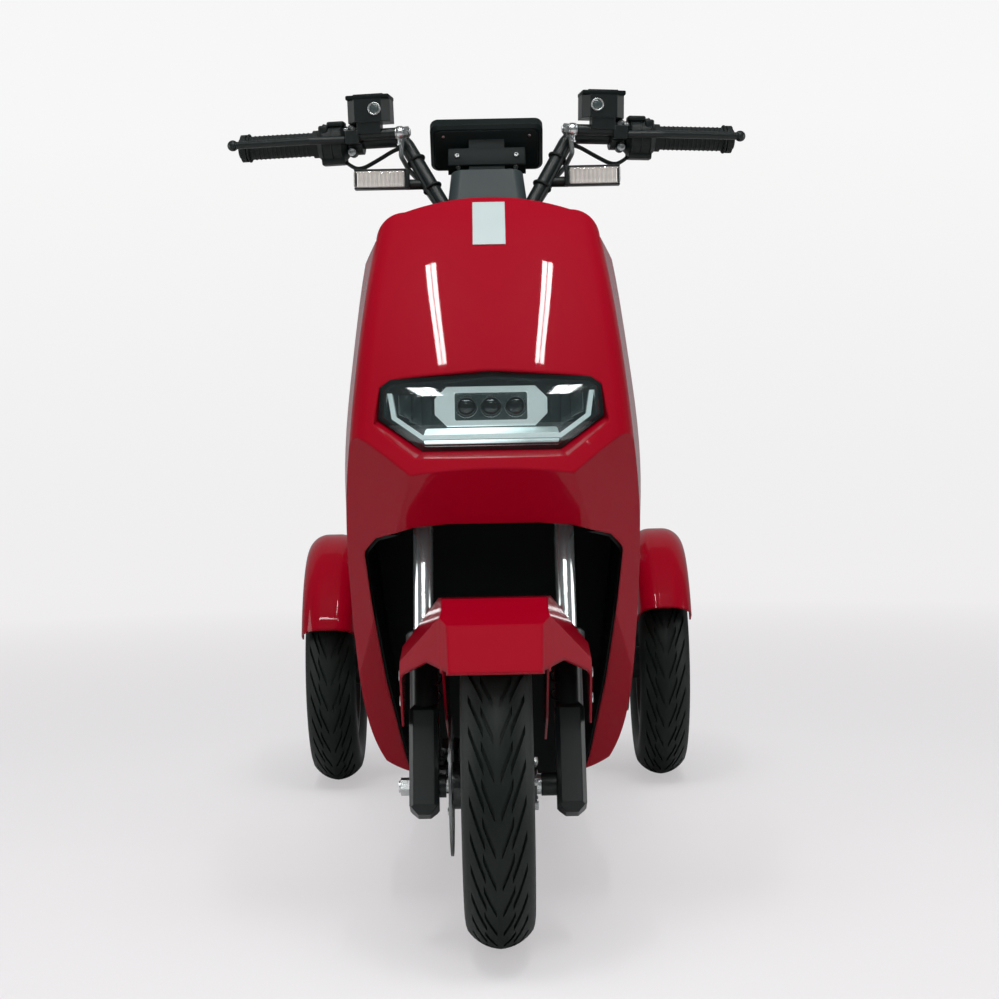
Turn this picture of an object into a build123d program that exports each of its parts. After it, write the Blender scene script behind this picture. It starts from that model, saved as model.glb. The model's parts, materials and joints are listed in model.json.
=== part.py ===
from build123d import *
import math
import os

# An electric three-wheeled scooter: one steered wheel under a tall red nose, and two
# driven wheels side by side at the back, each under its own red mudguard.
# Lengths are millimetres. +Z is up, the front looks along -Y, and +X is the rider's left.
# The origin is on the ground, in the middle of the vehicle's length and width.

# Driving dimensions of the whole vehicle
wheelbase = 1250
track = 600
overall_length = 1760
tyre_radius = 208
tyre_width = 90
rim_radius = 127
rake = 23  # degrees that the fork leans back
fork_offset = 30  # the legs stand this far ahead of the steering axis
leg_spread = 190  # between the centres of the two fork legs
cut_overrun = 20  # how far a cutting tool runs past what it cuts
fit_gap = 0.3  # between pieces that seat on each other
running_gap = 0.08  # round a shaft that turns in a bore

front_axle_y = tyre_radius - overall_length / 2
back_depth = overall_length - tyre_radius  # the vehicle's back, behind the front axle
rear_axle_y = front_axle_y + wheelbase
axle_z = tyre_radius
lean_sine = math.sin(math.radians(rake))
lean_cosine = math.cos(math.radians(rake))

# The fork's own frame stands on the front axle: local z runs up the legs, local y back.
fork_frame = Plane(
    origin=(0, front_axle_y, axle_z), x_dir=(1, 0, 0), z_dir=(0, lean_sine, lean_cosine)
)
FOOT = (Align.CENTER, Align.CENTER, Align.MIN)


def behind_front_axle(depth):
    """The row's Y of a place this far behind the front axle."""
    return front_axle_y + depth


def up_fork(height):
    """The distance up the fork's frame of a place at this height above the ground."""
    return (height - axle_z) / lean_cosine


def mirrored(shape):
    """The shape and its twin on the other side of the vehicle."""
    return [shape, mirror(shape, about=Plane.YZ)]


def same(point):
    """A profile's point as it is."""
    return point


def flipped(point):
    """A profile's point on the other side of its middle."""
    return (-point[0], point[1])


def rod(radius, start, end):
    """A round bar from one point to another."""
    line = Vector(*end) - Vector(*start)
    return Plane(origin=start, z_dir=line) * Cylinder(radius, line.length, align=FOOT)


def bent_tube(points, radius, bend):
    """A round tube along straight runs joined by arcs."""
    path = FilletPolyline(*points, radius=bend)
    ring = Plane(origin=path @ 0, z_dir=path % 0) * Circle(radius)
    return sweep(ring, path=path)


def side_slab(points, half_width):
    """A slab whose outline is seen from the side, centred on the vehicle."""
    outline = Plane.YZ * make_face(Polyline(*points, close=True))
    return extrude(outline, amount=half_width, both=True)


def front_slab(outline, y_from, y_to):
    """A slab whose outline is seen from the front, from one place to another along Y."""
    plane = Plane(origin=(0, y_from, 0), x_dir=(1, 0, 0), z_dir=(0, -1, 0))
    return extrude(plane * outline, amount=y_from - y_to)


def across(radius, length, x, y, z):
    """A cylinder whose axis runs across the vehicle, centred on a point."""
    return Pos(x, y, z) * (Rot(0, 90, 0) * Cylinder(radius, length))


def joined(shapes):
    """One solid from shapes that overlap or touch."""
    whole = shapes[0]
    for shape in shapes[1:]:
        whole = whole + shape
    return whole


# The nose and leg shield: one hollow body, split where the red and the black panels meet
body_bottom_z = 175
body_top_z = 1000
body_height = body_top_z - body_bottom_z
nose_depth = 8  # the ridge under the headlamp stands this far behind the front axle
body_depth = 457  # from that ridge back to the rider's side
body_half_width = 215
body_wall = 4
body_corner = 30
body_back_corner = 40
body_crown = 14  # degrees that the front panel turns at its edges
# height, front, front half width and back half width, as shares of the body's own sizes
body_section_shares = [
    (0.00, -0.09, 0.600, 0.690),
    (0.10, -0.09, 0.780, 0.875),
    (0.28, -0.09, 0.865, 0.955),
    (0.42, -0.08, 0.885, 0.995),
    (0.54, 0.005, 0.880, 1.000),
    (0.665, 0.130, 0.850, 0.955),
    (0.795, 0.285, 0.800, 0.885),
    (0.915, 0.460, 0.735, 0.800),
    (1.00, 0.625, 0.680, 0.745),
]
undercut_slope = 0.6  # how far the chin runs back for each unit of drop under the ridge
ridge_z = 617
ridge_half_width = 104
# where the ridge turns up beside the lamp, and the arch corner that its facet runs down to
ridge_corner = (180, 57, 664)
arch_corner = (172, 95, 535)
crown_half_width = 116  # the top edge between its rounded corners
crown_drop = 20
crown_z = 990
crown_corner = 40
crown_fall = 0.5  # how far the top drops for each unit of run behind the seam
back_taper = 9  # the black panel draws in behind the seam, so the red covers it
skirt_bottom_half_width = 100
skirt_bend = (165, 205)
skirt_top = (205, 300)
arch_top_z = 544
arch_corner_radius = 14
# the wheel arch from below, half widths and heights
arch_shoulder = (173, 506)
arch_side = [(118, 160), (130, 205), (151, 321), (166, 440)]
arch_outline = arch_side + [arch_shoulder, (156, 525), (104, 540), (60, arch_top_z)]
seam_top_depth = 345
seam_bottom_depth = 410
seam_gap = 0.6
stem_opening_radius = 88
stem_opening_half_depth = 72


def seam_depth(z):
    """How far behind the front axle the red meets the black at this height."""
    share = (crown_z - z) / (crown_z - body_bottom_z)
    return seam_top_depth + (seam_bottom_depth - seam_top_depth) * share


def body_section(z, front, front_half, back_half, back, inset):
    """The body cut level: a crowned front, two tight corners, flared sides and a back."""
    corner = body_corner - inset
    turn = math.radians(body_crown)
    half = front_half - inset
    rear = back_half - inset
    chord = half - corner + corner * math.sin(turn)
    crown = chord * math.tan(turn / 2)
    tip = front + inset
    middle = tip + crown + corner * math.cos(turn)
    mid_turn = (math.pi / 2 - turn) / 2
    round_back = body_back_corner - inset
    last = back - inset
    seam = behind_front_axle(seam_depth(z))
    drawn = rear - back_taper
    pieces = []
    for side in (-1, 1):
        corner_x = half - corner
        begin = (side * half, middle)
        bend = (
            side * (corner_x + corner * math.cos(mid_turn)),
            middle - corner * math.sin(mid_turn),
        )
        end = (side * chord, middle - corner * math.cos(turn))
        pieces.append(ThreePointArc(begin, bend, end))
        pieces.append(Line(begin, (side * rear, seam)))
        pieces.append(Line((side * rear, seam), (side * drawn, last - round_back)))
        quarter = round_back * math.sin(math.pi / 4)
        pieces.append(
            ThreePointArc(
                (side * drawn, last - round_back),
                (side * (drawn - round_back + quarter), last - round_back + quarter),
                (side * (drawn - round_back), last),
            )
        )
    tip_left = (-chord, middle - corner * math.cos(turn))
    tip_right = (chord, middle - corner * math.cos(turn))
    pieces.append(ThreePointArc(tip_left, (0, tip), tip_right))
    pieces.append(Line((-(drawn - round_back), last), (drawn - round_back, last)))
    return Plane.XY.offset(z) * make_face(Curve() + pieces)


def chin_cut(inset):
    """Half spaces that leave the facets under the ridge and down the legs' front."""
    far = body_depth
    front_y = behind_front_axle(nose_depth) + inset
    slope = Vector(0, undercut_slope, -1).normalized()
    normal = Vector(0, -1, -undercut_slope).normalized()
    big = Box(far * 4, far * 4, far * 4, align=FOOT)
    plane = Plane(origin=(0, front_y, ridge_z), x_dir=(1, 0, 0), z_dir=normal)
    cuts = [plane * big]
    start = Vector(ridge_half_width, behind_front_axle(nose_depth), ridge_z)
    upper = Vector(ridge_corner[0], behind_front_axle(ridge_corner[1]), ridge_corner[2])
    lower = Vector(arch_corner[0], behind_front_axle(arch_corner[1]), arch_corner[2])
    facet = (upper - start).cross(lower - start).normalized()
    facet = facet if facet.Y < 0 else facet * -1
    plane = Plane(origin=start - facet * inset, x_dir=slope.cross(facet), z_dir=facet)
    cuts += mirrored(plane * big)
    return cuts


def crown_cut(inset):
    """The half space above the black panel's top, which falls away behind the seam."""
    far = body_depth * 4
    normal = Vector(0, crown_fall, 1).normalized()
    edge = Vector(0, behind_front_axle(seam_top_depth), crown_z)
    plane = Plane(origin=edge - normal * inset, x_dir=(1, 0, 0), z_dir=normal)
    return plane * Box(far, far, far, align=FOOT)


def front_outline(inset):
    """The body's silhouette from the front: an arched top and a bottom drawn in."""
    corner = crown_corner - inset
    top = crown_z - inset
    half = crown_half_width - inset
    turned = corner * math.sin(math.pi / 4)
    shoulder = (half + corner, top - crown_drop - corner)
    bend = (half + turned, top - crown_drop - corner + turned)
    wide = body_half_width * 2
    edges = [ThreePointArc((-half, top - crown_drop), (0, top), (half, top - crown_drop))]
    low_z = body_bottom_z + inset
    for side in (-1, 1):
        edges.append(
            ThreePointArc(
                (side * half, top - crown_drop), (side * bend[0], bend[1]), (side * shoulder[0], shoulder[1])
            )
        )
        edges.append(Line((side * shoulder[0], shoulder[1]), (side * wide, skirt_top[1] * 2)))
        edges.append(Line((side * wide, skirt_top[1] * 2), (side * wide, skirt_top[1])))
        edges.append(
            Line((side * wide, skirt_top[1]), (side * (skirt_top[0] - inset), skirt_top[1]))
        )
        edges.append(
            ThreePointArc(
                (side * (skirt_top[0] - inset), skirt_top[1]),
                (side * (skirt_bend[0] - inset), skirt_bend[1] + inset),
                (side * skirt_bottom_half_width, low_z),
            )
        )
    edges.append(Line((-skirt_bottom_half_width, low_z), (skirt_bottom_half_width, low_z)))
    return make_face(Curve() + edges)


def nose_solid(inset):
    """The nose and leg shield as one solid, each face moved in by the inset."""
    rows = []
    for height, front, front_half, back_half in body_section_shares:
        rows.append(
            body_section(
                body_bottom_z + height * body_height,
                behind_front_axle(nose_depth + front * body_depth),
                front_half * body_half_width,
                back_half * body_half_width,
                behind_front_axle(nose_depth + body_depth),
                inset,
            )
        )
    solid = loft(rows)
    for cutter in chin_cut(inset):
        solid = solid - cutter
    solid = solid - crown_cut(inset)
    y_from = behind_front_axle(-body_depth)
    y_to = behind_front_axle(body_depth * 2)
    return solid & front_slab(front_outline(inset), y_from, y_to)


# The headlamp: an eight-sided cover that sits in a funnel behind the ridge
lamp_tilt = 4  # degrees that the cover leans back
lamp_z = 690
lamp_depth = 84  # its back plane behind the front axle, at lamp_z
lamp_top = (133, 44)
lamp_top_rise = 9
lamp_shoulder = (146, 34)
lamp_side = (149, -8)
lamp_foot = (91, -51)
lamp_corner = 4
lamp_cover_bulge = 10
lamp_cover_radius = 170
lamp_cover_wall = 3
lamp_bowl_depth = 48
lamp_bowl_inset = 6
lamp_bowl_wall = 3
lamp_plate_margin = 9
funnel_depth = 104
# how much wider and lower the funnel gets on its way to the ridge, at the lamp's corners
funnel_foot_spread = (14, -21)
funnel_side_spread = (20, -33)
funnel_shoulder_spread = (28, -10)
funnel_top_spread = (30, 8)
lamp_frame = Plane(
    origin=(0, behind_front_axle(lamp_depth), lamp_z),
    x_dir=(1, 0, 0),
    z_dir=(0, -math.cos(math.radians(lamp_tilt)), math.sin(math.radians(lamp_tilt))),
)


def lamp_outline(spread_share):
    """The lamp cover's outline in its own plane, spread by a share towards the ridge."""
    right = []
    for point, spread in (
        (lamp_foot, funnel_foot_spread),
        (lamp_side, funnel_side_spread),
        (lamp_shoulder, funnel_shoulder_spread),
        (lamp_top, funnel_top_spread),
    ):
        right.append((point[0] + spread[0] * spread_share, point[1] + spread[1] * spread_share))
    crown = (0, lamp_top[1] + lamp_top_rise + funnel_top_spread[1] * spread_share)
    left = [flipped(point) for point in reversed(right)]
    return right + [crown] + left


def lamp_face(margin):
    """The lamp's face with rounded corners, grown by a margin or drawn in by a negative one."""
    face = make_face(Polyline(*lamp_outline(0), close=True))
    if margin:
        face = offset(face, amount=margin, kind=Kind.INTERSECTION)
    corners = [v for v in face.vertices() if abs(v.X) > lamp_corner]
    return fillet(corners, lamp_corner)


def lamp_funnel(grow):
    """The space in front of the lamp, wider and lower towards the ridge."""
    faces = []
    for share in (0, 1):
        face = make_face(Polyline(*lamp_outline(share), close=True))
        if grow:
            face = offset(face, amount=grow, kind=Kind.INTERSECTION)
        faces.append(lamp_frame.offset(funnel_depth * share) * face)
    return loft(faces, ruled=True)


def stem_opening():
    """The space that the column and the bar's risers turn in, through the body's top."""
    height = up_fork(crown_z)
    hole = Pos(0, fork_offset, height) * Cylinder(stem_opening_radius, body_height / 2)
    band = Pos(0, fork_offset, height) * Box(
        stem_opening_radius * 2 + cut_overrun, stem_opening_half_depth * 2, body_height
    )
    return fork_frame * (hole & band)


def arch_face(inset):
    """The wheel arch seen from the front, moved in by an inset."""
    right = [(x - inset, z if z < arch_shoulder[1] else z - inset) for x, z in arch_outline]
    left = [(-x, z) for x, z in reversed(right)]
    face = make_face(Polyline(*right, *left, close=True))
    shoulders = [v for v in face.vertices() if abs(v.X) > arch_shoulder[0] - inset - fit_gap]
    return fillet(shoulders, arch_corner_radius - inset / 2)


liner_wall = 3
liner_back_depth = 352
liner_front_depth = 40
liner_roof_depth = 160


def seam_plane():
    """The plane where the red shield meets the black knee panel."""
    top = Vector(0, behind_front_axle(seam_top_depth), crown_z)
    bottom = Vector(0, behind_front_axle(seam_bottom_depth), body_bottom_z)
    along = (top - bottom).normalized()
    return Plane(origin=bottom, x_dir=(1, 0, 0), z_dir=Vector(1, 0, 0).cross(along))


def nose_shell():
    """The hollow nose with its lamp funnel, wheel arch and column opening cut."""
    void = nose_solid(body_wall) - lamp_funnel(body_wall)
    back_plate = extrude(lamp_frame * lamp_face(lamp_plate_margin), amount=-body_wall)
    void = void - back_plate
    shell = nose_solid(0) - void - lamp_funnel(0)
    shell = shell - extrude(lamp_frame * lamp_face(-lamp_bowl_inset), amount=-lamp_bowl_depth)
    arch_from = behind_front_axle(-body_depth)
    shell = shell - front_slab(arch_face(0), arch_from, behind_front_axle(liner_back_depth))
    return shell - stem_opening()


def split_nose():
    """The red shield in front of the seam, and the black knee panel behind it."""
    shell = nose_shell()
    seam = seam_plane()
    size = body_height * 2
    ahead = seam.offset(seam_gap / 2) * Box(size, size, size, align=FOOT)
    astern = seam.offset(-seam_gap / 2) * (Rot(180, 0, 0) * Box(size, size, size, align=FOOT))
    notch = Pos(0, behind_front_axle(nose_depth + body_depth), rail_z) * Box(
        (rail_half + tube_radius) * 2 + cut_overrun / 2, body_back_corner * 2, tube_radius * 4
    )
    parts = [shell & ahead, (shell & astern) - notch]
    parts.sort(key=lambda part: part.center().Y)
    return parts


def largest(shape):
    """The largest solid of a cut, without the crumbs that it left."""
    return max(shape.solids(), key=lambda solid: solid.volume)


def wheel_arch_liner():
    """The black lining of the wheel arch: two walls and a back wrapped round the wheel."""
    inset = fit_gap
    outer = front_slab(
        arch_face(inset), behind_front_axle(liner_front_depth), behind_front_axle(liner_back_depth - fit_gap)
    )
    inner = front_slab(
        arch_face(inset + liner_wall),
        behind_front_axle(-body_depth),
        behind_front_axle(liner_back_depth - liner_wall),
    )
    liner = outer - inner
    # the front edge follows the legs of the shield, and the roof is open over the fork
    for cutter in chin_cut(body_wall + fit_gap):
        liner = liner - cutter
    roof = Pos(0, behind_front_axle(0), arch_top_z) * Box(
        body_half_width * 2, liner_back_depth * 2 - liner_roof_depth, arch_corner_radius * 2
    )
    return largest(liner - roof)


# The headlamp's inside
module_half = (75, 26)
module_rise = 9
module_depth = 26
module_chamfer = 16
module_window = (49, 19)
emitter_radius = 15
emitter_pitch = 33
emitter_depth = 14
# the light bar's corners on one side, outer and inner, from its top end to the lamp's foot
light_bar_outer = [(137, 27), (132, -7), (93, -35)]
light_bar_inner = [(131, 27), (126, -4), (91, -29)]
light_bar_depth = 12


def lamp_bowl():
    """The lamp's black bowl behind the cover, open to the front."""
    outer = lamp_face(-lamp_bowl_inset - fit_gap)
    inner = lamp_face(-lamp_bowl_inset - fit_gap - lamp_bowl_wall)
    bowl = extrude(lamp_frame * outer, amount=-lamp_bowl_depth)
    hollow = extrude(lamp_frame * inner, amount=-(lamp_bowl_depth - lamp_bowl_wall))
    return bowl - hollow


def lamp_module():
    """The bright frame in the middle of the lamp, with three round lenses in its window."""
    floor = -(lamp_bowl_depth - lamp_bowl_wall) + fit_gap
    plate = lamp_frame.offset(floor)
    half_x, half_z = module_half
    frame = plate * Pos(0, module_rise, 0) * Box(half_x * 2, half_z * 2, module_depth, align=FOOT)
    frame = chamfer(frame.edges().filter_by(Axis(frame.center(), lamp_frame.z_dir)), module_chamfer)
    window = plate * Pos(0, module_rise, module_depth / 2) * Box(
        module_window[0] * 2, module_window[1] * 2, module_depth, align=FOOT
    )
    frame = frame - window
    for step in (-1, 0, 1):
        emitter = Pos(step * emitter_pitch, module_rise, module_depth / 2) * Cylinder(
            emitter_radius, emitter_depth / 2, align=FOOT
        )
        frame = frame + plate * emitter
    return frame


def running_light():
    """The pale light bar that follows the lamp's sides and foot."""
    floor = -(lamp_bowl_depth - lamp_bowl_wall) + fit_gap
    side = light_bar_outer + [flipped(point) for point in reversed(light_bar_outer)]
    back = [flipped(point) for point in light_bar_inner] + list(reversed(light_bar_inner))
    bar = make_face(Polyline(*side, *back, close=True))
    return extrude(lamp_frame.offset(floor) * bar, amount=lamp_bowl_depth - light_bar_depth)


def lamp_cover():
    """The clear cover: a shallow tray whose face is crowned from top to bottom."""
    place = lamp_frame.offset(fit_gap)
    tray = extrude(place * lamp_face(-fit_gap), amount=lamp_cover_bulge)
    drum = Rot(0, 90, 0) * Cylinder(lamp_cover_radius, lamp_side[0] * 4)
    outer = place * (Pos(0, 0, lamp_cover_bulge - lamp_cover_radius) * drum)
    inner_drum = Rot(0, 90, 0) * Cylinder(lamp_cover_radius - lamp_cover_wall, lamp_side[0] * 4)
    inner = place * (Pos(0, 0, lamp_cover_bulge - lamp_cover_radius) * inner_drum)
    hollow = extrude(place * lamp_face(-lamp_cover_wall), amount=lamp_cover_bulge)
    return (tray & outer) - (hollow & inner)


# Fork, yoke and steering stem
stanchion_radius = 13.5
stanchion_top = 5  # the tubes stand this far out of the yoke
steerer_radius = 15
yoke_z = 582
yoke_thickness = 26
yoke_leg_radius = 21
yoke_depth = 34
stem_top_z = 935
lower_radius = 18.5
lower_top_z = 398
lower_bore_depth = 60
lower_waist_z = 296
lower_block = (38, 48)
lower_foot_drop = 40  # the leg's foot under the axle
lower_foot_chamfer = 11
lower_shoulder = 14  # the sloped step where the block meets the barrel
inner_boss_radius = 15
inner_boss_ends = (67, 56)  # from the middle, on the disc's side and on the other one
collar_radius = 23.5
collar_height = 21
collar_slope = 3
axle_radius = 7.5
axle_nut_radius = 12
axle_nut_length = 11
axle_reach = 128
hub_half = 50
spacer_radius = 13


def fork_stem():
    """The steerer tube and the lower yoke that clamps both fork tubes."""
    height = up_fork(yoke_z)
    half = leg_spread / 2
    plate = Pos(0, yoke_depth / 2 - yoke_leg_radius / 2, height) * Box(
        leg_spread, yoke_depth, yoke_thickness
    )
    boss = Pos(0, fork_offset, height) * Cylinder(steerer_radius * 2, yoke_thickness)
    yoke = plate + boss
    for side in (-1, 1):
        yoke = yoke + Pos(side * half, 0, height) * Cylinder(yoke_leg_radius, yoke_thickness)
    for side in (-1, 1):
        yoke = yoke - Pos(side * half, 0, height) * Cylinder(
            stanchion_radius + fit_gap / 2, yoke_thickness * 2
        )
    stem_length = up_fork(stem_top_z) - height
    stem = Pos(0, fork_offset, height) * Cylinder(steerer_radius, stem_length, align=FOOT)
    return fork_frame * (yoke + stem)


def fork_tubes():
    """Two chromed fork tubes, from the yoke down into the lower legs."""
    low = up_fork(lower_top_z) - lower_bore_depth + fit_gap
    high = up_fork(yoke_z) + yoke_thickness / 2 + stanchion_top
    tube = Pos(leg_spread / 2, 0, low) * Cylinder(stanchion_radius, high - low, align=FOOT)
    return [fork_frame * tube, fork_frame * mirror(tube, about=Plane.YZ)]


def lower_legs():
    """The two black lower legs, each with its dust collar and its faceted axle end."""
    top = up_fork(lower_top_z)
    waist = up_fork(lower_waist_z)
    knee = -lower_foot_drop + lower_foot_chamfer
    wide, deep = lower_block
    sole = Plane.XY.offset(-lower_foot_drop) * Rectangle(
        wide - lower_foot_chamfer * 2, deep - lower_foot_chamfer * 2
    )
    ankle = Plane.XY.offset(knee) * Rectangle(wide, deep)
    block = Pos(0, 0, knee) * Box(wide, deep, waist - knee, align=FOOT) + loft([sole, ankle])
    hip = Plane.XY.offset(waist) * Rectangle(wide, deep)
    neck = Plane.XY.offset(waist + lower_shoulder) * Rectangle(lower_radius, lower_radius)
    block = block + loft([hip, neck])
    block = chamfer(block.edges().filter_by(Axis.Z), lower_foot_chamfer / 2)
    barrel = Pos(0, 0, waist) * Cylinder(lower_radius, top - waist - collar_height / 2, align=FOOT)
    collar = Pos(0, 0, top - collar_height) * Cylinder(collar_radius, collar_height, align=FOOT)
    collar = chamfer(collar.edges().filter_by(GeomType.CIRCLE).sort_by(Axis.Z)[-1], collar_slope)
    bore = Pos(0, 0, top - lower_bore_depth) * Cylinder(
        stanchion_radius + fit_gap / 2, lower_bore_depth * 2, align=FOOT
    )
    legs = []
    for side, boss_end in ((-1, inner_boss_ends[0]), (1, inner_boss_ends[1])):
        half = side * leg_spread / 2
        leg = Pos(half, 0, 0) * (barrel + collar + block - bore)
        boss = rod(inner_boss_radius, (half, 0, 0), (side * boss_end, 0, 0))
        leg = leg + boss - across(axle_radius + fit_gap / 2, leg_spread, half, 0, 0)
        legs.append(fork_frame * leg)
    return legs


def front_axle():
    """The front spindle, its nut outside one leg and its collar inside the other."""
    nut_x = leg_spread / 2 + lower_block[0] / 2 + fit_gap
    spindle = rod(axle_radius, (-axle_reach, 0, 0), (nut_x - lower_foot_chamfer / 2, 0, 0))
    nut = extrude(RegularPolygon(axle_nut_radius, 6), amount=axle_nut_length)
    outside = Pos(-nut_x, 0, 0) * (Rot(0, -90, 0) * nut)
    inside = rod(spacer_radius, (hub_half + fit_gap, 0, 0), (inner_boss_ends[1] - fit_gap, 0, 0))
    return fork_frame * (spindle + outside + inside)


# Tyres, rims and brake discs: the three wheels are alike
tyre_half_width_at_bead = 28.7
tyre_bulge_radius = 165
tyre_shoulder = (42, 184)
casing = 9
rim_flange_radius = 134
rim_half_width = 34
rim_wall = 5
rim_well_radius = 108
rim_well_half = 18
hub_radius = 26
spoke_count = 5
spoke_width = 26
spoke_thickness = 22
disc_radius = 90
disc_thickness = 3.5
disc_inner_radius = 62
disc_offset = 60
disc_carrier_radius = 30
disc_arm_width = 12
disc_hole_radius = 4
disc_hole_ring_radius = 77
disc_hole_count = 20


def tyre(x, y):
    """A scooter tyre: a hollow casing with round shoulders, open at its beads."""
    edges = []
    for shift in (0, casing):
        seat = (tyre_half_width_at_bead - shift, rim_radius + fit_gap)
        bead = (tyre_half_width_at_bead - shift, rim_flange_radius + fit_gap + shift / 2)
        side = (tyre_width / 2 - shift, tyre_bulge_radius)
        shoulder = (tyre_shoulder[0] - shift, tyre_shoulder[1] - shift)
        edges.append(ThreePointArc(flipped(shoulder), (0, tyre_radius - shift), shoulder))
        for turn in (same, flipped):
            edges.append(ThreePointArc(turn(bead), turn(side), turn(shoulder)))
            edges.append(Line(turn(seat), turn(bead)))
    inner_seat = (tyre_half_width_at_bead - casing, rim_radius + fit_gap)
    outer_seat = (tyre_half_width_at_bead, rim_radius + fit_gap)
    for turn in (same, flipped):
        edges.append(Line(turn(inner_seat), turn(outer_seat)))
    profile = make_face(Curve() + edges)
    ring = revolve(profile, axis=Axis.X)
    return Pos(x, y, axle_z) * ring


def rim(x, y, disc_side):
    """A cast wheel: a dropped rim, five spokes and a hub that carries the disc."""
    outline = [
        (-rim_half_width, rim_flange_radius),
        (-rim_half_width + rim_wall, rim_flange_radius),
        (-rim_half_width + rim_wall, rim_radius),
        (-rim_well_half, rim_radius - rim_wall),
        (-rim_well_half, rim_well_radius),
        (rim_well_half, rim_well_radius),
        (rim_well_half, rim_radius - rim_wall),
        (rim_half_width - rim_wall, rim_radius),
        (rim_half_width - rim_wall, rim_flange_radius),
        (rim_half_width, rim_flange_radius),
        (rim_half_width, rim_radius - rim_wall),
        (rim_well_half + rim_wall, rim_radius - rim_wall * 2),
        (rim_well_half + rim_wall, rim_well_radius - rim_wall),
        (-rim_well_half - rim_wall, rim_well_radius - rim_wall),
        (-rim_well_half - rim_wall, rim_radius - rim_wall * 2),
        (-rim_half_width, rim_radius - rim_wall),
    ]
    barrel = revolve(make_face(Polyline(*outline, close=True)), axis=Axis.X)
    hub = Rot(0, 90, 0) * Cylinder(hub_radius, hub_half * 2)
    wheel = barrel + hub
    length = rim_well_radius - rim_wall / 2
    for step in range(spoke_count):
        spoke = Box(spoke_thickness, spoke_width, length, align=FOOT)
        wheel = wheel + Rot(step * 360 / spoke_count, 0, 0) * spoke
    bore = Rot(0, 90, 0) * Cylinder(axle_radius + running_gap, hub_half * 3)
    seat_length = disc_offset - disc_thickness / 2 - hub_half + cut_overrun
    seat = Pos(disc_side * (hub_half - cut_overrun), 0, 0) * (
        Rot(0, disc_side * 90, 0) * Cylinder(disc_carrier_radius, seat_length - fit_gap, align=FOOT)
    )
    wheel = wheel + seat - bore
    return Pos(x, y, axle_z) * wheel


def brake_disc(x, y):
    """A drilled brake disc on a five-armed carrier."""
    ring = Cylinder(disc_radius, disc_thickness) - Cylinder(disc_inner_radius, disc_thickness * 2)
    carrier = Cylinder(disc_carrier_radius, disc_thickness)
    disc = ring + carrier
    for step in range(spoke_count):
        reach = disc_inner_radius + disc_arm_width
        arm = Pos(disc_inner_radius / 2, 0, 0) * Box(reach, disc_arm_width, disc_thickness)
        disc = disc + Rot(0, 0, step * 360 / spoke_count) * arm
    ring = PolarLocations(disc_hole_ring_radius, disc_hole_count)
    holes = ring * Cylinder(disc_hole_radius, disc_thickness * 2)
    disc = disc - holes - Cylinder(axle_radius + running_gap, disc_thickness * 2)
    return Pos(x, y, axle_z) * (Rot(0, 90, 0) * disc)


# The steered mudguard: an angular cowl with two wings in front of the fork legs
guard_wall = 3
guard_half = 68
# the cowl from the side: depth behind the axle and height, front lip first
guard_crest = [(-172, 376), (-112, 428), (-20, 452), (70, 446), (150, 396), (205, 300), (215, 235)]
# the cheeks' lower edge from the side, lip first
guard_cheek_edge = [(-192, 376), (-169, 373), (-78, 380), (62, 284), (195, 235), (235, 235)]
# three corners of each sloped shoulder and of each front facet: half width, depth and height
guard_shoulder = [(74, 70, 446), (73, -112, 428), (119, 50, 388)]
guard_facet = [(60, -112, 428), (57, -172, 376), (119, -40, 380)]
wing_half = 122
# the wings' edge from the side: depth and height, from the lip round to the crown
wing_edge = [
    (-192, 376),
    (-172, 376),
    (-105, 382),
    (-60, 362),
    (-18, 289),
    (16, 289),
    (54, 372),
    (50, 390),
    (70, 446),
    (70, 480),
    (-192, 480),
]


def from_side(points):
    """A side outline's points placed behind the front axle."""
    return [(behind_front_axle(depth), z) for depth, z in points]


def beyond(corners, inset):
    """The half spaces outside a facet and its twin, both moved in by the inset."""
    first, second, third = [Vector(x, behind_front_axle(depth), z) for x, depth, z in corners]
    normal = (second - first).cross(third - first).normalized()
    normal = normal if normal.X > 0 else normal * -1
    far = body_depth * 2
    plane = Plane(origin=first - normal * inset, x_dir=second - first, z_dir=normal)
    return mirrored(plane * Box(far, far, far, align=FOOT))


def guard_crown(inset):
    """The cowl's side outline moved in by the inset, closed far below the wheel."""
    crest = from_side([(depth + inset, z - inset) for depth, z in guard_crest])
    low = axle_z - inset
    return crest + [(crest[-1][0], low), (crest[0][0], low)]


def guard_wings():
    """The sloped shoulders, the front facets and the plates outside the legs, as one shell."""
    shells = []
    for inset in (0, guard_wall):
        solid = side_slab(guard_crown(inset), wing_half - inset)
        for corners in (guard_shoulder, guard_facet):
            for cutter in beyond(corners, inset):
                solid = solid - cutter
        shells.append(solid)
    outline = side_slab(from_side(wing_edge), wing_half * 2)
    return (shells[0] - shells[1]) & outline


def guard_cowl():
    """The cowl's middle: a crown with a cheek on each side, down to the tail."""
    cowl = side_slab(guard_crown(0), guard_half)
    void = side_slab(guard_crown(guard_wall), guard_half - guard_wall)
    lower = from_side(guard_cheek_edge)
    low_z = axle_z - cut_overrun
    below = side_slab(lower + [(lower[-1][0], low_z), (lower[0][0], low_z)], wing_half)
    cowl = cowl - void - below
    for cutter in beyond(guard_facet, 0):
        cowl = cowl - cutter
    return cowl


def front_mudguard():
    """The whole steered mudguard in one piece, with room for both fork legs."""
    guard = guard_cowl() + guard_wings()
    top = up_fork(lower_top_z)
    leg = Pos(leg_spread / 2, 0, top) * Cylinder(collar_radius + fit_gap * 2, top)
    return largest(guard - fork_frame * (leg + mirror(leg, about=Plane.YZ)))


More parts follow.
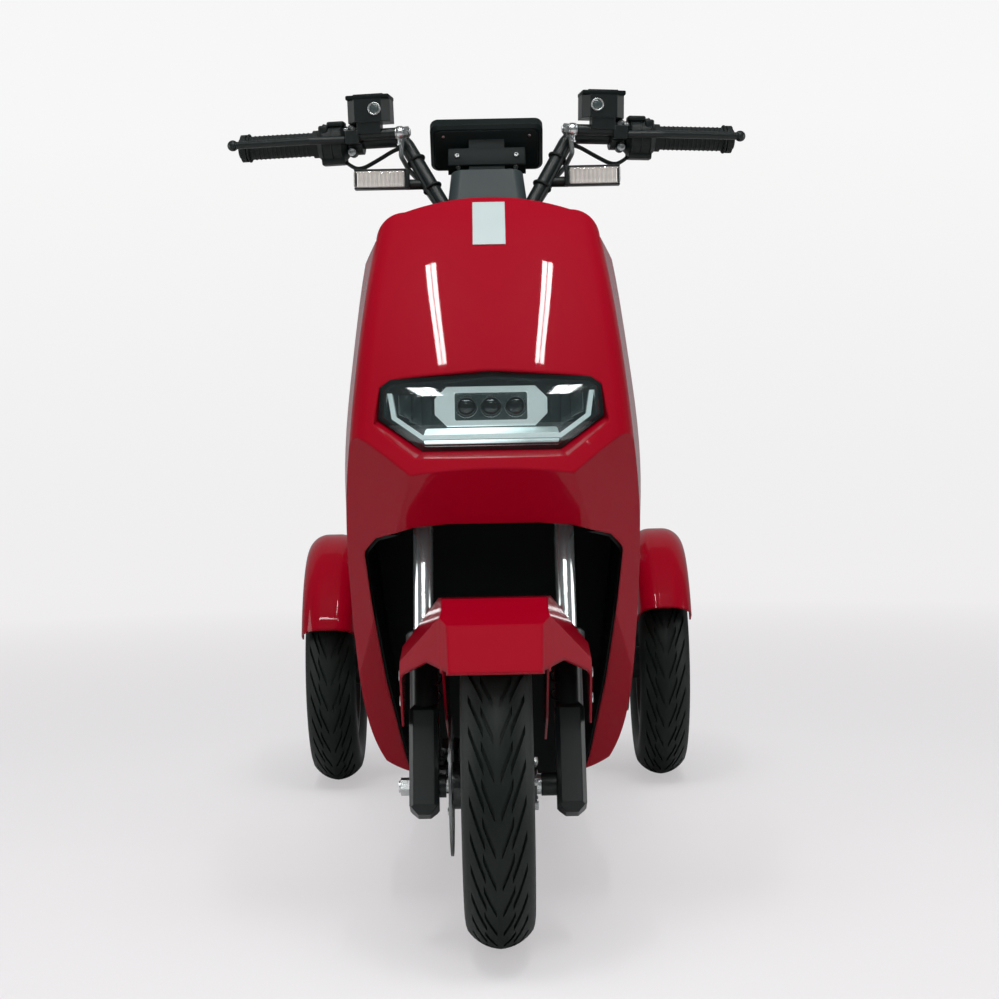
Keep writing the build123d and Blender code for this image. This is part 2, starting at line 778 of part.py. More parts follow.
# Front brake caliper, behind the leg on the disc's side
caliper_size = (27, 46, 62)
caliper_slot = 7
caliper_radius = 81  # from the axle to the block's middle
caliper_angle = 32  # degrees above level, behind the front axle and before the rear one
caliper_lug = 20


def caliper_block():
    """A caliper astride a disc whose axle is at the origin, above and behind it."""
    block = Pos(0, caliper_radius, 0) * Box(*caliper_size)
    block = chamfer(block.edges().filter_by(Axis.Z), caliper_size[0] / 5)
    slot = Cylinder(disc_radius + disc_thickness, caliper_slot)
    return Rot(caliper_angle, 0, 0) * (block - Rot(0, 90, 0) * slot)


def front_caliper():
    """The front caliper astride the disc, on a lug from the lower leg."""
    block = Pos(-disc_offset, 0, 0) * caliper_block()
    angle = math.radians(caliper_angle)
    back = caliper_radius * math.cos(angle)
    lug_y = lower_block[1] / 2 + fit_gap
    lug_x = -disc_offset - caliper_size[0] / 2 + disc_thickness
    lug = Pos(lug_x, lug_y, caliper_radius * math.sin(angle)) * Box(
        caliper_lug, back - lug_y, caliper_lug, align=(Align.MAX, Align.MIN, Align.CENTER)
    )
    return fork_frame * (block + lug)


# Handlebar and what sits on it
bar_radius = 11
bar_knee_z = 1088
bar_end_z = 1082
bar_knee_half = 122
bar_foot_half = 38
bar_end_half = 355
bar_bend = 26
bar_clamp_z = 925
bar_sweep = 30  # how far the grips sweep back from the knees
grip_radius = 17
grip_length = 116
grip_inner_half = 246
clamp_block = (86, 40, 30)


def bar_point(half, z, back=0):
    """A point of the bar, on the steering axis's own slope."""
    y = behind_front_axle(fork_offset / lean_cosine + (z - axle_z) * lean_sine / lean_cosine)
    return (half, y + back, z)


def bar_tube(radius):
    """The handlebar's tube, or with a larger radius the space around it."""
    right = [
        bar_point(bar_end_half, bar_end_z, bar_sweep),
        bar_point(bar_knee_half, bar_knee_z),
        bar_point(bar_foot_half, bar_clamp_z + clamp_block[2] / 2),
    ]
    left = [(-x, y, z) for x, y, z in reversed(right)]
    return bent_tube(right + left, radius, [bar_bend, bar_bend / 2, bar_bend / 2, bar_bend])


def handlebar():
    """The handlebar: one bent tube with rising legs, held by a clamp on the stem."""
    clamp = fork_frame * (
        Pos(0, fork_offset, up_fork(stem_top_z) + fit_gap) * Box(*clamp_block, align=FOOT)
    )
    return bar_tube(bar_radius) + clamp


def bar_frame(side, half):
    """A frame on the outer bar: local z runs outwards along it, local x forwards."""
    inner = Vector(*bar_point(bar_knee_half, bar_knee_z))
    outer = Vector(*bar_point(bar_end_half, bar_end_z, bar_sweep))
    along = (outer - inner).normalized()
    origin = inner + along * (half - bar_knee_half)
    origin = Vector(origin.X * side, origin.Y, origin.Z)
    along = Vector(along.X * side, along.Y, along.Z)
    forward = Vector(0, -1, 0)
    forward = (forward - along * forward.dot(along)).normalized()
    return Plane(origin=origin, x_dir=forward, z_dir=along)


grip_end_radius = 20
grip_end_length = 8
switch_radius = 28
switch_length = 44
switch_inner_half = 202
switch_lobe = (30, 40, 34)  # the housing's lower part: forward, down, along the bar
switch_lobe_drop = 12


def grips():
    """The two rubber grips with their end flanges."""
    made = []
    for side in (-1, 1):
        frame = bar_frame(side, grip_inner_half)
        body = Cylinder(grip_radius, grip_length, align=FOOT)
        flange = Cylinder(grip_end_radius, grip_end_length, align=FOOT)
        flange = Pos(0, 0, grip_length - grip_end_length) * flange
        inner = Cylinder(grip_end_radius, grip_end_length, align=FOOT)
        bore = Cylinder(bar_radius + fit_gap / 2, grip_length - grip_end_length / 2, align=FOOT)
        made.append(frame * (body + flange + inner - bore))
    return made


def switch_housings():
    """The switch housings between the grips and the brake clamps, each with a lower lobe."""
    made = []
    for side in (-1, 1):
        frame = bar_frame(side, switch_inner_half)
        up = 1 if frame.y_dir.Z > 0 else -1
        drum = Cylinder(switch_radius, switch_length, align=FOOT)
        drum = chamfer(drum.edges().filter_by(GeomType.CIRCLE), switch_radius / 4)
        lobe = Pos(0, -up * switch_lobe_drop, switch_length / 2) * Box(*switch_lobe)
        lobe = fillet(lobe.edges().filter_by(Axis.Z), switch_lobe_drop / 2)
        bore = Cylinder(bar_radius + fit_gap / 2, switch_length * 2)
        made.append(frame * (drum + lobe - bore))
    return made


master_half = 190
master_clamp_length = 20
master_clamp_radius = 19
cylinder_radius = 8
cylinder_length = 62
cylinder_forward = 30
cylinder_rise = 6
perch_reach = 42  # the lever's perch ends this far ahead of the bar
reservoir = (46, 38, 62)  # forward, high, along the bar
reservoir_rise = 36
reservoir_in = 25  # from the clamp's middle to the reservoir's, towards the middle
reservoir_neck = (26, 34)
mirror_boss_radius = 9
mirror_boss_height = 16
mirror_boss_rise = 12
mirror_hole_radius = 4.4
mirror_hole_depth = 14


def master_cylinders():
    """Brake master cylinders: bar clamp, cylinder, reservoir and mirror boss."""
    made = []
    for side in (-1, 1):
        frame = bar_frame(side, master_half)
        up = 1 if frame.y_dir.Z > 0 else -1
        clamp = Cylinder(master_clamp_radius, master_clamp_length)
        reach = Pos(perch_reach / 2, up * cylinder_rise / 2, 0) * Box(
            perch_reach, master_clamp_radius, master_clamp_length
        )
        barrel = Pos(cylinder_forward, up * cylinder_rise, -cylinder_length / 2) * Cylinder(
            cylinder_radius, cylinder_length
        )
        tank = Box(*reservoir)
        tank = chamfer(tank.edges().filter_by(Axis.Y).group_by(Axis.X)[-1], reservoir[0] / 4)
        tank_up = up * (cylinder_rise + reservoir_rise)
        tank_at = Pos(cylinder_forward - cylinder_radius, tank_up, -reservoir_in)
        neck = Pos(cylinder_forward, up * (cylinder_rise + reservoir_rise / 2), -reservoir_in) * Box(
            reservoir_neck[0], reservoir_rise, reservoir_neck[1]
        )
        boss = Pos(-mirror_boss_rise / 2, up * mirror_boss_rise, 0) * (
            Rot(-up * 90, 0, 0) * Cylinder(mirror_boss_radius, mirror_boss_height, align=FOOT)
        )
        top = mirror_boss_rise + mirror_boss_height
        hole = Pos(-mirror_boss_rise / 2, up * (top - mirror_hole_depth), 0) * (
            Rot(-up * 90, 0, 0) * Cylinder(mirror_hole_radius, mirror_hole_depth * 2, align=FOOT)
        )
        body = clamp + reach + barrel + neck + tank_at * tank + boss
        bore = Cylinder(bar_radius + fit_gap / 2, cylinder_length * 2)
        made.append(frame * largest(body - bore - hole))
    return made


banjo_radius = 7
banjo_length = 20
hose_radius = 3.5
hose_bend = 7
# the hose from its banjo down behind the riser: half width, behind the bar, height
hose_route = [(124, -22, 1060), (114, 6, 1042), (99, 16, 1026), (52, 17, 955)]


def brake_hoses():
    """The two brake hoses, each from its banjo fitting down along the riser."""
    made = []
    for side in (-1, 1):
        frame = bar_frame(side, master_half)
        up = 1 if frame.y_dir.Z > 0 else -1
        level = up * cylinder_rise
        near = -cylinder_length - fit_gap
        banjo = Pos(cylinder_forward, level, near - banjo_length / 2) * Cylinder(banjo_radius, banjo_length)
        top = frame.from_local_coords(Vector(cylinder_forward, level, near - banjo_length / 2))
        points = [(top.X, top.Y, top.Z)]
        points += [bar_point(side * half, z, back) for half, back, z in hose_route]
        made.append(frame * banjo + bent_tube(points, hose_radius, hose_bend))
    return made


def hose_holes():
    """The space that the hoses take where they enter the column cover."""
    holes = []
    for side in (-1, 1):
        near, far = [Vector(*bar_point(side * half, z, back)) for half, back, z in hose_route[-2:]]
        end = far + (far - near).normalized() * cut_overrun
        holes.append(rod(hose_radius + fit_gap, tuple(near), tuple(end)))
    return holes


lever_thickness = 11
lever_depth = 12
lever_gap = 24  # finger room between the lever and the grip
lever_inner_half = 202.3
lever_outer_half = 366
lever_ball_radius = 8
lever_root = 36
lever_knee_share = 0.3


def brake_levers():
    """The two brake levers in front of the grips, each ending in a ball."""
    made = []
    for side in (-1, 1):
        frame = bar_frame(side, lever_inner_half)
        reach = grip_radius + lever_gap + lever_depth / 2
        length = lever_outer_half - lever_inner_half
        path = [(lever_root, 0), (reach, length * lever_knee_share), (reach - lever_depth / 3, length)]
        blade = []
        for (x0, z0), (x1, z1) in zip(path, path[1:]):
            blade.append(rod(lever_thickness / 2, (x0, 0, z0), (x1, 0, z1)))
            blade.append(Pos(x1, 0, z1) * Sphere(lever_thickness / 2))
        ball = Pos(path[-1][0], 0, length) * Sphere(lever_ball_radius)
        made.append(frame * joined(blade + [ball]))
    return made


# The display, its bracket and the column cover under it
display_size = (164, 79, 20)
display_corner = 12
display_tilt = 40  # degrees that its face leans back from upright
display_z = 1077
display_back = 6
cover_bottom_z = 950
cover_top_z = 1036
cover_bottom = (122, 92)
cover_top = (104, 62)
cover_corner = 18
cover_wall = 3
bracket_size = (114, 30, 6)


def column_cover():
    """The black cowl round the top of the column, a hollow taper."""
    low = up_fork(cover_bottom_z)
    high = up_fork(cover_top_z)

    def taper(inset, start, end):
        foot = Pos(0, fork_offset, start) * RectangleRounded(
            cover_bottom[0] - inset * 2, cover_bottom[1] - inset * 2, cover_corner - inset
        )
        head = Pos(0, fork_offset, end) * RectangleRounded(
            cover_top[0] - inset * 2, cover_top[1] - inset * 2, cover_corner - inset
        )
        return loft([foot, head])

    solid = taper(0, low, high) - taper(cover_wall, low - cut_overrun, high - cover_wall)
    cover = fork_frame * solid - bar_tube(bar_radius + fit_gap)
    for hole in hose_holes():
        cover = cover - hole
    return cover


def display_frame():
    """The display's own frame: local z points out of its face towards the rider."""
    centre = bar_point(0, display_z, display_back)
    tilt = math.radians(display_tilt)
    return Plane(origin=centre, x_dir=(-1, 0, 0), z_dir=(0, math.cos(tilt), math.sin(tilt)))


def display():
    """The display box with round corners."""
    box = Box(*display_size)
    box = fillet(box.edges().filter_by(Axis.Z), display_corner)
    box = chamfer(box.faces().sort_by(Axis.Z)[0].edges(), display_size[2] / 4)
    return display_frame() * box


def display_bracket():
    """The plate that carries the display on the column cover."""
    low = -display_size[1] / 2
    behind_display = -display_size[2] / 2 - fit_gap - bracket_size[2] / 2
    plate = Pos(0, low + bracket_size[1] / 2, behind_display) * Box(*bracket_size)
    post = fork_frame * (
        Pos(0, fork_offset, up_fork(cover_top_z) + fit_gap)
        * Box(cover_top[0] / 2, cover_top[1] / 2, display_size[1], align=FOOT)
    )
    behind = display_frame() * (
        Pos(0, 0, -display_size[2] / 2 - fit_gap) * Box(
            *[display_size[0] * 2] * 3, align=(Align.CENTER, Align.CENTER, Align.MAX)
        )
    )
    return display_frame() * plate + (post & behind)


# Front turn signals on the bar's risers
signal_size = (80, 26, 29)
signal_inner_half = 112
signal_z = 1026
signal_forward = 14
signal_stalk_half = 84
signal_stalk_radius = 7


def signal_lamps():
    """The front turn signals, each a bar of lamp on a short stalk."""
    made = []
    for side in (-1, 1):
        x = side * (signal_inner_half + signal_size[0] / 2)
        base = bar_point(x, signal_z, -signal_forward)
        lamp = Pos(*base) * Box(*signal_size)
        lamp = fillet(lamp.edges().filter_by(Axis.Y), signal_size[2] / 8)
        stalk_z = signal_z - signal_size[2] / 4
        inner = bar_point(side * signal_stalk_half, stalk_z)
        outer = bar_point(side * (signal_inner_half + signal_stalk_radius), stalk_z, -signal_forward / 2)
        stalk = rod(signal_stalk_radius, inner, outer)
        made.append(largest(lamp + stalk - bar_tube(bar_radius + fit_gap / 2)))
    return made


# Floor, side skirts and battery
floor_z = 300
floor_half_width = 158
floor_from = nose_depth + body_depth + fit_gap
floor_to = 850
floor_thickness = 14
floor_lip = 16
mat_rib_count = 7
mat_half_width = 138
mat_thickness = 4
mat_rib_height = 3
mat_rib_share = 0.25  # how far into its pitch a rib starts
skirt_half_width = 172
skirt_thickness = 12
skirt_bottom_z = 196
skirt_to = 880
battery_size = (183.4, 350, 92)
battery_z = 188
battery_from = 470


def floorboard():
    """The step-through floor, a flat tray with raised edges."""
    length = floor_to - floor_from
    y = behind_front_axle(floor_from)
    low = (Align.CENTER, Align.MIN, Align.MAX)
    board = Pos(0, y, floor_z) * Box(floor_half_width * 2, length, floor_thickness, align=low)
    for side in (-1, 1):
        lip = Pos(side * (floor_half_width - floor_lip / 2), y, floor_z) * Box(
            floor_lip, length, floor_lip / 2, align=(Align.CENTER, Align.MIN, Align.MIN)
        )
        board = board + lip
    return board


def floor_mat():
    """The rubber mat on the floor with ribs across it."""
    length = floor_to - floor_from - floor_lip * 2
    y = behind_front_axle(floor_from + floor_lip)
    base = (Align.CENTER, Align.MIN, Align.MIN)
    mat = Pos(0, y, floor_z) * Box(mat_half_width * 2, length, mat_thickness, align=base)
    pitch = length / mat_rib_count
    for step in range(mat_rib_count):
        rib = Pos(0, y + pitch * (step + mat_rib_share), floor_z) * Box(
            mat_half_width * 2 - floor_lip, pitch / 2, mat_thickness + mat_rib_height, align=base
        )
        mat = mat + rib
    return mat


def side_skirts():
    """The red strips under the floor's edges."""
    inner = floor_half_width + fit_gap
    top = floor_z + floor_lip / 2
    outline = [
        (inner, top),
        (inner + skirt_thickness, top),
        (skirt_half_width, (top + skirt_bottom_z) / 2 + skirt_thickness),
        (inner, skirt_bottom_z),
        (inner - skirt_thickness, skirt_bottom_z),
        (inner, skirt_bottom_z + skirt_thickness * 3),
    ]
    strip = front_slab(
        make_face(Polyline(*outline, close=True)),
        behind_front_axle(floor_from + fit_gap),
        behind_front_axle(skirt_to),
    )
    return mirrored(strip)


def battery_case():
    """The battery under the floor, one plain block with round edges."""
    case = Pos(0, behind_front_axle(battery_from), battery_z) * Box(
        *battery_size, align=(Align.CENTER, Align.MIN, Align.MIN)
    )
    return fillet(case.edges().filter_by(Axis.Y), floor_lip / 2)


# The main frame
tube_radius = 16
rail_half = 104
rail_z = 236
head_radius = 25
head_low_z = 606
head_high_z = 800
down_tube_depth = 392
seat_rail_half = 132
seat_rail_z = 560
seat_rail_radius = 12
cross_radius = 9
rise_depth = 905
seat_rail_from = 985
seat_rail_bend_depth = back_depth - 307
seat_rail_to = back_depth - 112
seat_rail_back_half = 84
seat_rail_rise = 30
pivot_radius = 6
floor_post_depths = (520, 790)
floor_post_width = 20
frame_bend = 60
neck_depth = head_radius * 0.8
neck_drop = frame_bend * 1.5
seat_rail_bend = frame_bend * 0.8


def main_frame():
    """The welded tube frame: head tube, down tube, floor rails and seat rails."""
    low = up_fork(head_low_z)
    high = up_fork(head_high_z)
    head = Cylinder(head_radius, high - low, align=FOOT) - Cylinder(
        steerer_radius + running_gap, high * 2, align=FOOT
    )
    head = fork_frame * (Pos(0, fork_offset, low) * head)
    neck = bar_point(0, (head_low_z + head_high_z) / 2, neck_depth)
    down = bent_tube(
        [
            neck,
            (0, behind_front_axle(down_tube_depth), neck[2] - neck_drop),
            (0, behind_front_axle(down_tube_depth), rail_z),
        ],
        tube_radius + 4,
        frame_bend,
    )
    cross_y = behind_front_axle(down_tube_depth)
    cross = rod(tube_radius, (-rail_half, cross_y, rail_z), (rail_half, cross_y, rail_z))
    pieces = [head, down, cross]
    for side in (-1, 1):
        pieces.append(
            bent_tube(
                [
                    (side * rail_half, cross_y, rail_z),
                    (side * rail_half, behind_front_axle(rise_depth), rail_z),
                    (side * seat_rail_half, behind_front_axle(seat_rail_from), seat_rail_z),
                    (
                        side * seat_rail_half,
                        behind_front_axle(seat_rail_bend_depth),
                        seat_rail_z + seat_rail_rise,
                    ),
                    (
                        side * seat_rail_back_half,
                        behind_front_axle(seat_rail_to),
                        seat_rail_z + seat_rail_rise * 2,
                    ),
                ],
                seat_rail_radius,
                seat_rail_bend,
            )
        )
    for depth, z, half in (
        (rise_depth - frame_bend, rail_z, rail_half),
        (seat_rail_to - seat_rail_radius, seat_rail_z + seat_rail_rise * 1.95, seat_rail_back_half),
    ):
        y = behind_front_axle(depth)
        pieces.append(rod(cross_radius, (-half, y, z), (half, y, z)))
    for depth in floor_post_depths:
        for side in (-1, 1):
            pieces.append(
                Pos(side * rail_half, behind_front_axle(depth), rail_z)
                * Box(
                    floor_post_width,
                    floor_post_width,
                    floor_z - floor_thickness - fit_gap - rail_z,
                    align=FOOT,
                )
            )
    head_y = behind_front_axle(spring_head[0])
    for side in (-1, 1):
        inner = side * seat_rail_half
        outer = side * (spring_half + spring_radius)
        pieces.append(
            rod(spring_bolt_radius, (inner, head_y, spring_head[1]), (outer, head_y, spring_head[1]))
        )
    frame = joined(pieces)
    pivot_y = behind_front_axle(arm_pivot_depth)
    frame = frame - across(pivot_radius + fit_gap, arm_half * 3, 0, pivot_y, arm_pivot_z)
    clear = fork_frame * (
        Pos(0, fork_offset, low - head_radius) * Cylinder(steerer_radius + running_gap, high * 2, align=FOOT)
    )
    return frame - clear


# The red tail body under the seat, and the tub inside it
tail_wall = 4
tail_corner = 34
# depth, half width, low and high edge
tail_sections = [
    (836, 150, 300.3, 696),
    (980, 158, 330, 704),
    (back_depth - 372, 156, 372, 708),
    (back_depth - 192, 134, 470, 712),
    (back_depth - 62, 100, 585, 712),
]
tub_half = 106
tub_from = 872
tub_to = 1250
tub_low_z = 440
tub_top_z = 700
tub_wall = 3
tail_opening_half = 124
tail_opening_from = 850
tail_opening_to = 1275


def tail_solid(inset):
    """The tail body as one solid, each face moved in by the inset."""
    faces = []
    last = len(tail_sections) - 1
    for index, (depth, half, low, high) in enumerate(tail_sections):
        shift = inset if index == 0 else (-inset if index == last else 0)
        face = RectangleRounded((half - inset) * 2, high - low - inset * 2, tail_corner - inset)
        plane = Plane(
            origin=(0, behind_front_axle(depth + shift), (low + high) / 2), x_dir=(1, 0, 0), z_dir=(0, -1, 0)
        )
        faces.append(plane * face)
    return loft(faces)


def tail_body():
    """The red body under the seat, hollow and open at the top."""
    shell = tail_solid(0) - tail_solid(tail_wall)
    opening = Pos(0, behind_front_axle((tail_opening_from + tail_opening_to) / 2), tub_top_z) * Box(
        tail_opening_half * 2, tail_opening_to - tail_opening_from, tail_corner * 4
    )
    belly = Pos(0, behind_front_axle(rise_depth + frame_bend), tail_sections[0][2]) * Box(
        rail_half * 2 + seat_rail_radius * 4, frame_bend * 4, tail_wall * 20
    )
    head_y = behind_front_axle(spring_head[0])
    bolts = across(spring_bolt_radius * 2, tail_sections[1][1] * 3, 0, head_y, spring_head[1])
    return largest(shell - opening - belly - bolts)


def storage_tub():
    """The storage tub under the seat, open at the top."""
    length = tub_to - tub_from
    y = behind_front_axle((tub_from + tub_to) / 2)
    outer = Pos(0, y, tub_low_z) * Box(tub_half * 2, length, tub_top_z - tub_low_z, align=FOOT)
    outer = fillet(outer.edges().filter_by(Axis.Z), tail_corner)
    inner = Pos(0, y, tub_low_z + tub_wall) * Box(
        (tub_half - tub_wall) * 2, length - tub_wall * 2, tub_top_z - tub_low_z, align=FOOT
    )
    inner = fillet(inner.edges().filter_by(Axis.Z), tail_corner - tub_wall)
    rim_width = (tail_opening_half - fit_gap) * 2
    rim_length = length + (tail_opening_half - tub_half) * 2 - fit_gap * 2
    rim_plate = Pos(0, y, tub_top_z - tub_wall) * Box(rim_width, rim_length, tub_wall, align=FOOT)
    return outer + rim_plate - inner


# The seat: a pan on a hinge at its front, and the cushion on it
seat_from = 818
seat_to = back_depth - 127
seat_half_width = 140
seat_nose_share = 0.62
seat_tail_share = 0.92
seat_taper_share = 0.33
cushion_corner = 24
seat_low_z = 716
pan_thickness = 10
cushion_height = 66
# the cushion from its foot up: height and how far its edge draws in, as shares of its height
cushion_row_shares = [(0, 0.10), (0.25, 0), (0.72, 0.03), (0.92, 0.12), (1.0, 0.27)]
seat_step = 18
seat_step_from = 1120
hinge_depth = 824
hinge_z = 700
hinge_pin_radius = 4
hinge_leaf = 4
knuckle_radius = 7
knuckle_half = 48
knuckle_length = 20
buffer_width = 14
front_buffer_depth = 1015


def seat_outline(inset, start):
    """The seat from above: narrow at its front, wide under the rider."""
    y0 = behind_front_axle(start + inset)
    y1 = behind_front_axle(seat_to - inset)
    half = seat_half_width - inset
    if start == seat_from:
        nose = half * seat_nose_share
        mid = behind_front_axle(seat_from + (seat_to - seat_from) * seat_taper_share)
    else:
        nose = half - cushion_corner
        mid = y0 + cushion_corner
    tail = half * seat_tail_share
    right = [(nose, y0), (half, mid), (tail, y1)]
    left = [flipped(point) for point in reversed(right)]
    face = make_face(Polyline(*right, *left, close=True))
    return fillet(face.vertices(), min(tail_corner - inset, cushion_corner))


def seat_pan():
    """The seat's moulded pan with the hinge barrel under its front edge."""
    pan = extrude(Plane.XY.offset(seat_low_z) * seat_outline(seat_step / 3, seat_from), amount=pan_thickness)
    drop = seat_low_z - tub_top_z - fit_gap
    for depth in (front_buffer_depth, tub_to - buffer_width):
        for side in (-1, 1):
            place = Pos(side * (tub_half + buffer_width / 2), behind_front_axle(depth), seat_low_z)
            buffer = Box(buffer_width, buffer_width, drop, align=(Align.CENTER, Align.MIN, Align.MAX))
            pan = pan + place * buffer
    y = behind_front_axle(hinge_depth)
    for side in (-1, 1):
        x = side * knuckle_half
        drop_plate = Pos(x, y, hinge_z) * Box(
            knuckle_length, knuckle_radius * 2, seat_low_z + pan_thickness / 2 - hinge_z, align=FOOT
        )
        pan = pan + drop_plate + across(knuckle_radius, knuckle_length, x, y, hinge_z)
    return pan - across(hinge_pin_radius + running_gap, knuckle_half * 3, 0, y, hinge_z)


def seat_hinge():
    """The hinge's fixed half: a bracket on the tail's front, and the pin through it."""
    y = behind_front_axle(hinge_depth)
    pin = across(hinge_pin_radius, (knuckle_half + knuckle_length) * 2, 0, y, hinge_z)
    front = behind_front_axle(tail_sections[0][0]) - fit_gap
    low = tail_sections[0][3] - tail_corner * 2
    leaf = Pos(0, front, low) * Box(
        (knuckle_half - knuckle_length) * 2, hinge_leaf, hinge_z - low,
        align=(Align.CENTER, Align.MAX, Align.MIN),
    )
    arm = Pos(0, front, hinge_z) * Box(
        (knuckle_half - knuckle_length) * 2, front - y, knuckle_radius * 2,
        align=(Align.CENTER, Align.MAX, Align.CENTER),
    )
    barrel = across(knuckle_radius, (knuckle_half - knuckle_length) * 2, 0, y, hinge_z)
    return pin + leaf + arm + barrel


def cushion_block(height, start):
    """One level of the cushion with a rounded top edge, from a place back to the seat's end."""
    low = seat_low_z + pan_thickness + fit_gap
    rows = []
    for rise, draw in cushion_row_shares:
        rows.append(Plane.XY.offset(low + rise * height) * seat_outline(draw * cushion_height, start))
    return loft(rows, ruled=True)


def seat_cushion():
    """The seat cushion, stepped up for the passenger."""
    front = cushion_block(cushion_height, seat_from)
    step = cushion_block(cushion_height + seat_step, seat_step_from)
    return largest(front + step)


# The rear rail and the number plate bracket
rail_radius = 11
rail_front_depth = 1250
rail_side_half = 166
rail_back_half = 128
rail_boss_half = 140
rail_low_z = 668
rail_high_z = 742
rail_bend = 34
rail_back_bend = rail_bend * 1.5
carrier_hole_radius = 4.2
carrier_spacing = (120, 60)
carrier_thickness = 5
plate_holes_spacing = 120
plate_hole_radius = 3
tail_lamp_height = tail_corner * 1.4
plate_length = tail_corner * 6
plate_hole_drop = tail_corner * 4.6


def grab_rail():
    """The rail round the seat's back, with a small carrier plate behind the seat."""
    back_y = overall_length / 2 - rail_radius
    right = [
        (rail_side_half, behind_front_axle(rail_front_depth - rail_bend), rail_low_z),
        (rail_side_half, behind_front_axle(rail_front_depth), rail_high_z),
        (rail_back_half, back_y, rail_high_z),
    ]
    left = [(-x, y, z) for x, y, z in reversed(right)]
    tube = bent_tube(right + left, rail_radius, [rail_bend, rail_back_bend, rail_back_bend, rail_bend])
    plate_depth = back_y - behind_front_axle(seat_to) - rail_radius * 1.5
    plate = Pos(0, back_y - plate_depth / 2, rail_high_z) * Box(
        rail_back_half * 2 + rail_radius, plate_depth, carrier_thickness
    )
    hole_y = back_y - plate_depth / 2
    for sx in (-1, 1):
        for sy in (-1, 1):
            place = Pos(sx * carrier_spacing[0] / 2, hole_y + sy * carrier_spacing[1] / 2, rail_high_z)
            plate = plate - place * Cylinder(carrier_hole_radius, carrier_thickness * 4)
    foot_y = behind_front_axle(rail_front_depth - rail_bend)
    for side in (-1, 1):
        boss = (side * rail_boss_half, foot_y, rail_low_z)
        tube = tube + rod(rail_radius, (side * rail_side_half, foot_y, rail_low_z), boss)
        tube = tube + Pos(side * rail_side_half, foot_y, rail_low_z) * Sphere(rail_radius)
    return largest(tube + plate - tail_solid(-fit_gap))


def tail_lamp():
    """The red tail lamp across the tail's end."""
    depth, half, low, high = tail_sections[-1]
    lamp = Pos(0, behind_front_axle(depth + fit_gap), (low + high) / 2 + tail_corner / 2) * Box(
        half * 2 - tail_corner, tail_corner / 2, tail_lamp_height, align=(Align.CENTER, Align.MIN, Align.CENTER)
    )
    return fillet(lamp.edges().filter_by(Axis.Y), tail_corner / 4)


def plate_bracket():
    """The bracket under the tail for a number plate, with two holes."""
    depth, half, low, high = tail_sections[-1]
    y = behind_front_axle(depth + fit_gap)
    top = (low + high) / 2 - tail_corner / 2
    plate = Pos(0, y, top) * Box(
        plate_holes_spacing + tail_corner, carrier_thickness, plate_length,
        align=(Align.CENTER, Align.MIN, Align.MAX),
    )
    plate = fillet(plate.edges().filter_by(Axis.Y), tail_corner / 3)
    for side in (-1, 1):
        hole = Pos(side * plate_holes_spacing / 2, y, top - plate_hole_drop) * (
            Rot(90, 0, 0) * Cylinder(plate_hole_radius, carrier_thickness * 4)
        )
        plate = plate - hole
    return plate


# Rear axle, motor, arms and springs
axle_tube_radius = 27
axle_tube_half = 196
motor_radius = 92
motor_half = 88
arm_half = 150
arm_size = (34, 50)
arm_pivot_depth = 918
arm_pivot_z = 262
hub_carrier_size = (34, 110, 142)
hub_carrier_drop = 6
stub_reach = 46
spring_radius = 24
spring_foot = (1250, 290)
spring_head = (1200, 590)
spring_half = 184
spring_bolt_radius = 8
spring_coils = 8
damper_radius = 13


def guard_stay(side):
    """The flat stay that rises from a hub carrier to the mudguard's inner wall."""
    wall = track / 2 - rear_guard_half - fit_gap
    root = axle_tube_half + hub_carrier_size[0] - tail_wall * 2
    foot = axle_z + hub_carrier_size[2] / 2 - hub_carrier_drop - guard_arm_width / 2
    top = axle_z + rear_guard_radius - rear_guard_shoulder
    knee = axle_z + (disc_radius + rear_guard_radius) / 2 - guard_arm_width
    outline = [
        (root, foot),
        (root, foot + guard_arm_width),
        (wall, knee),
        (wall, top),
        (wall - guard_arm_thickness, top),
        (wall - guard_arm_thickness, knee + guard_arm_thickness),
        (root - guard_arm_thickness * 2, foot + guard_arm_width + guard_arm_thickness * 2),
        (root - guard_arm_thickness * 2, foot),
    ]
    points = [(side * x, z) for x, z in outline]
    half = guard_arm_width / 2
    return front_slab(
        make_face(Polyline(*points, close=True)), rear_axle_y - half, rear_axle_y + half
    )


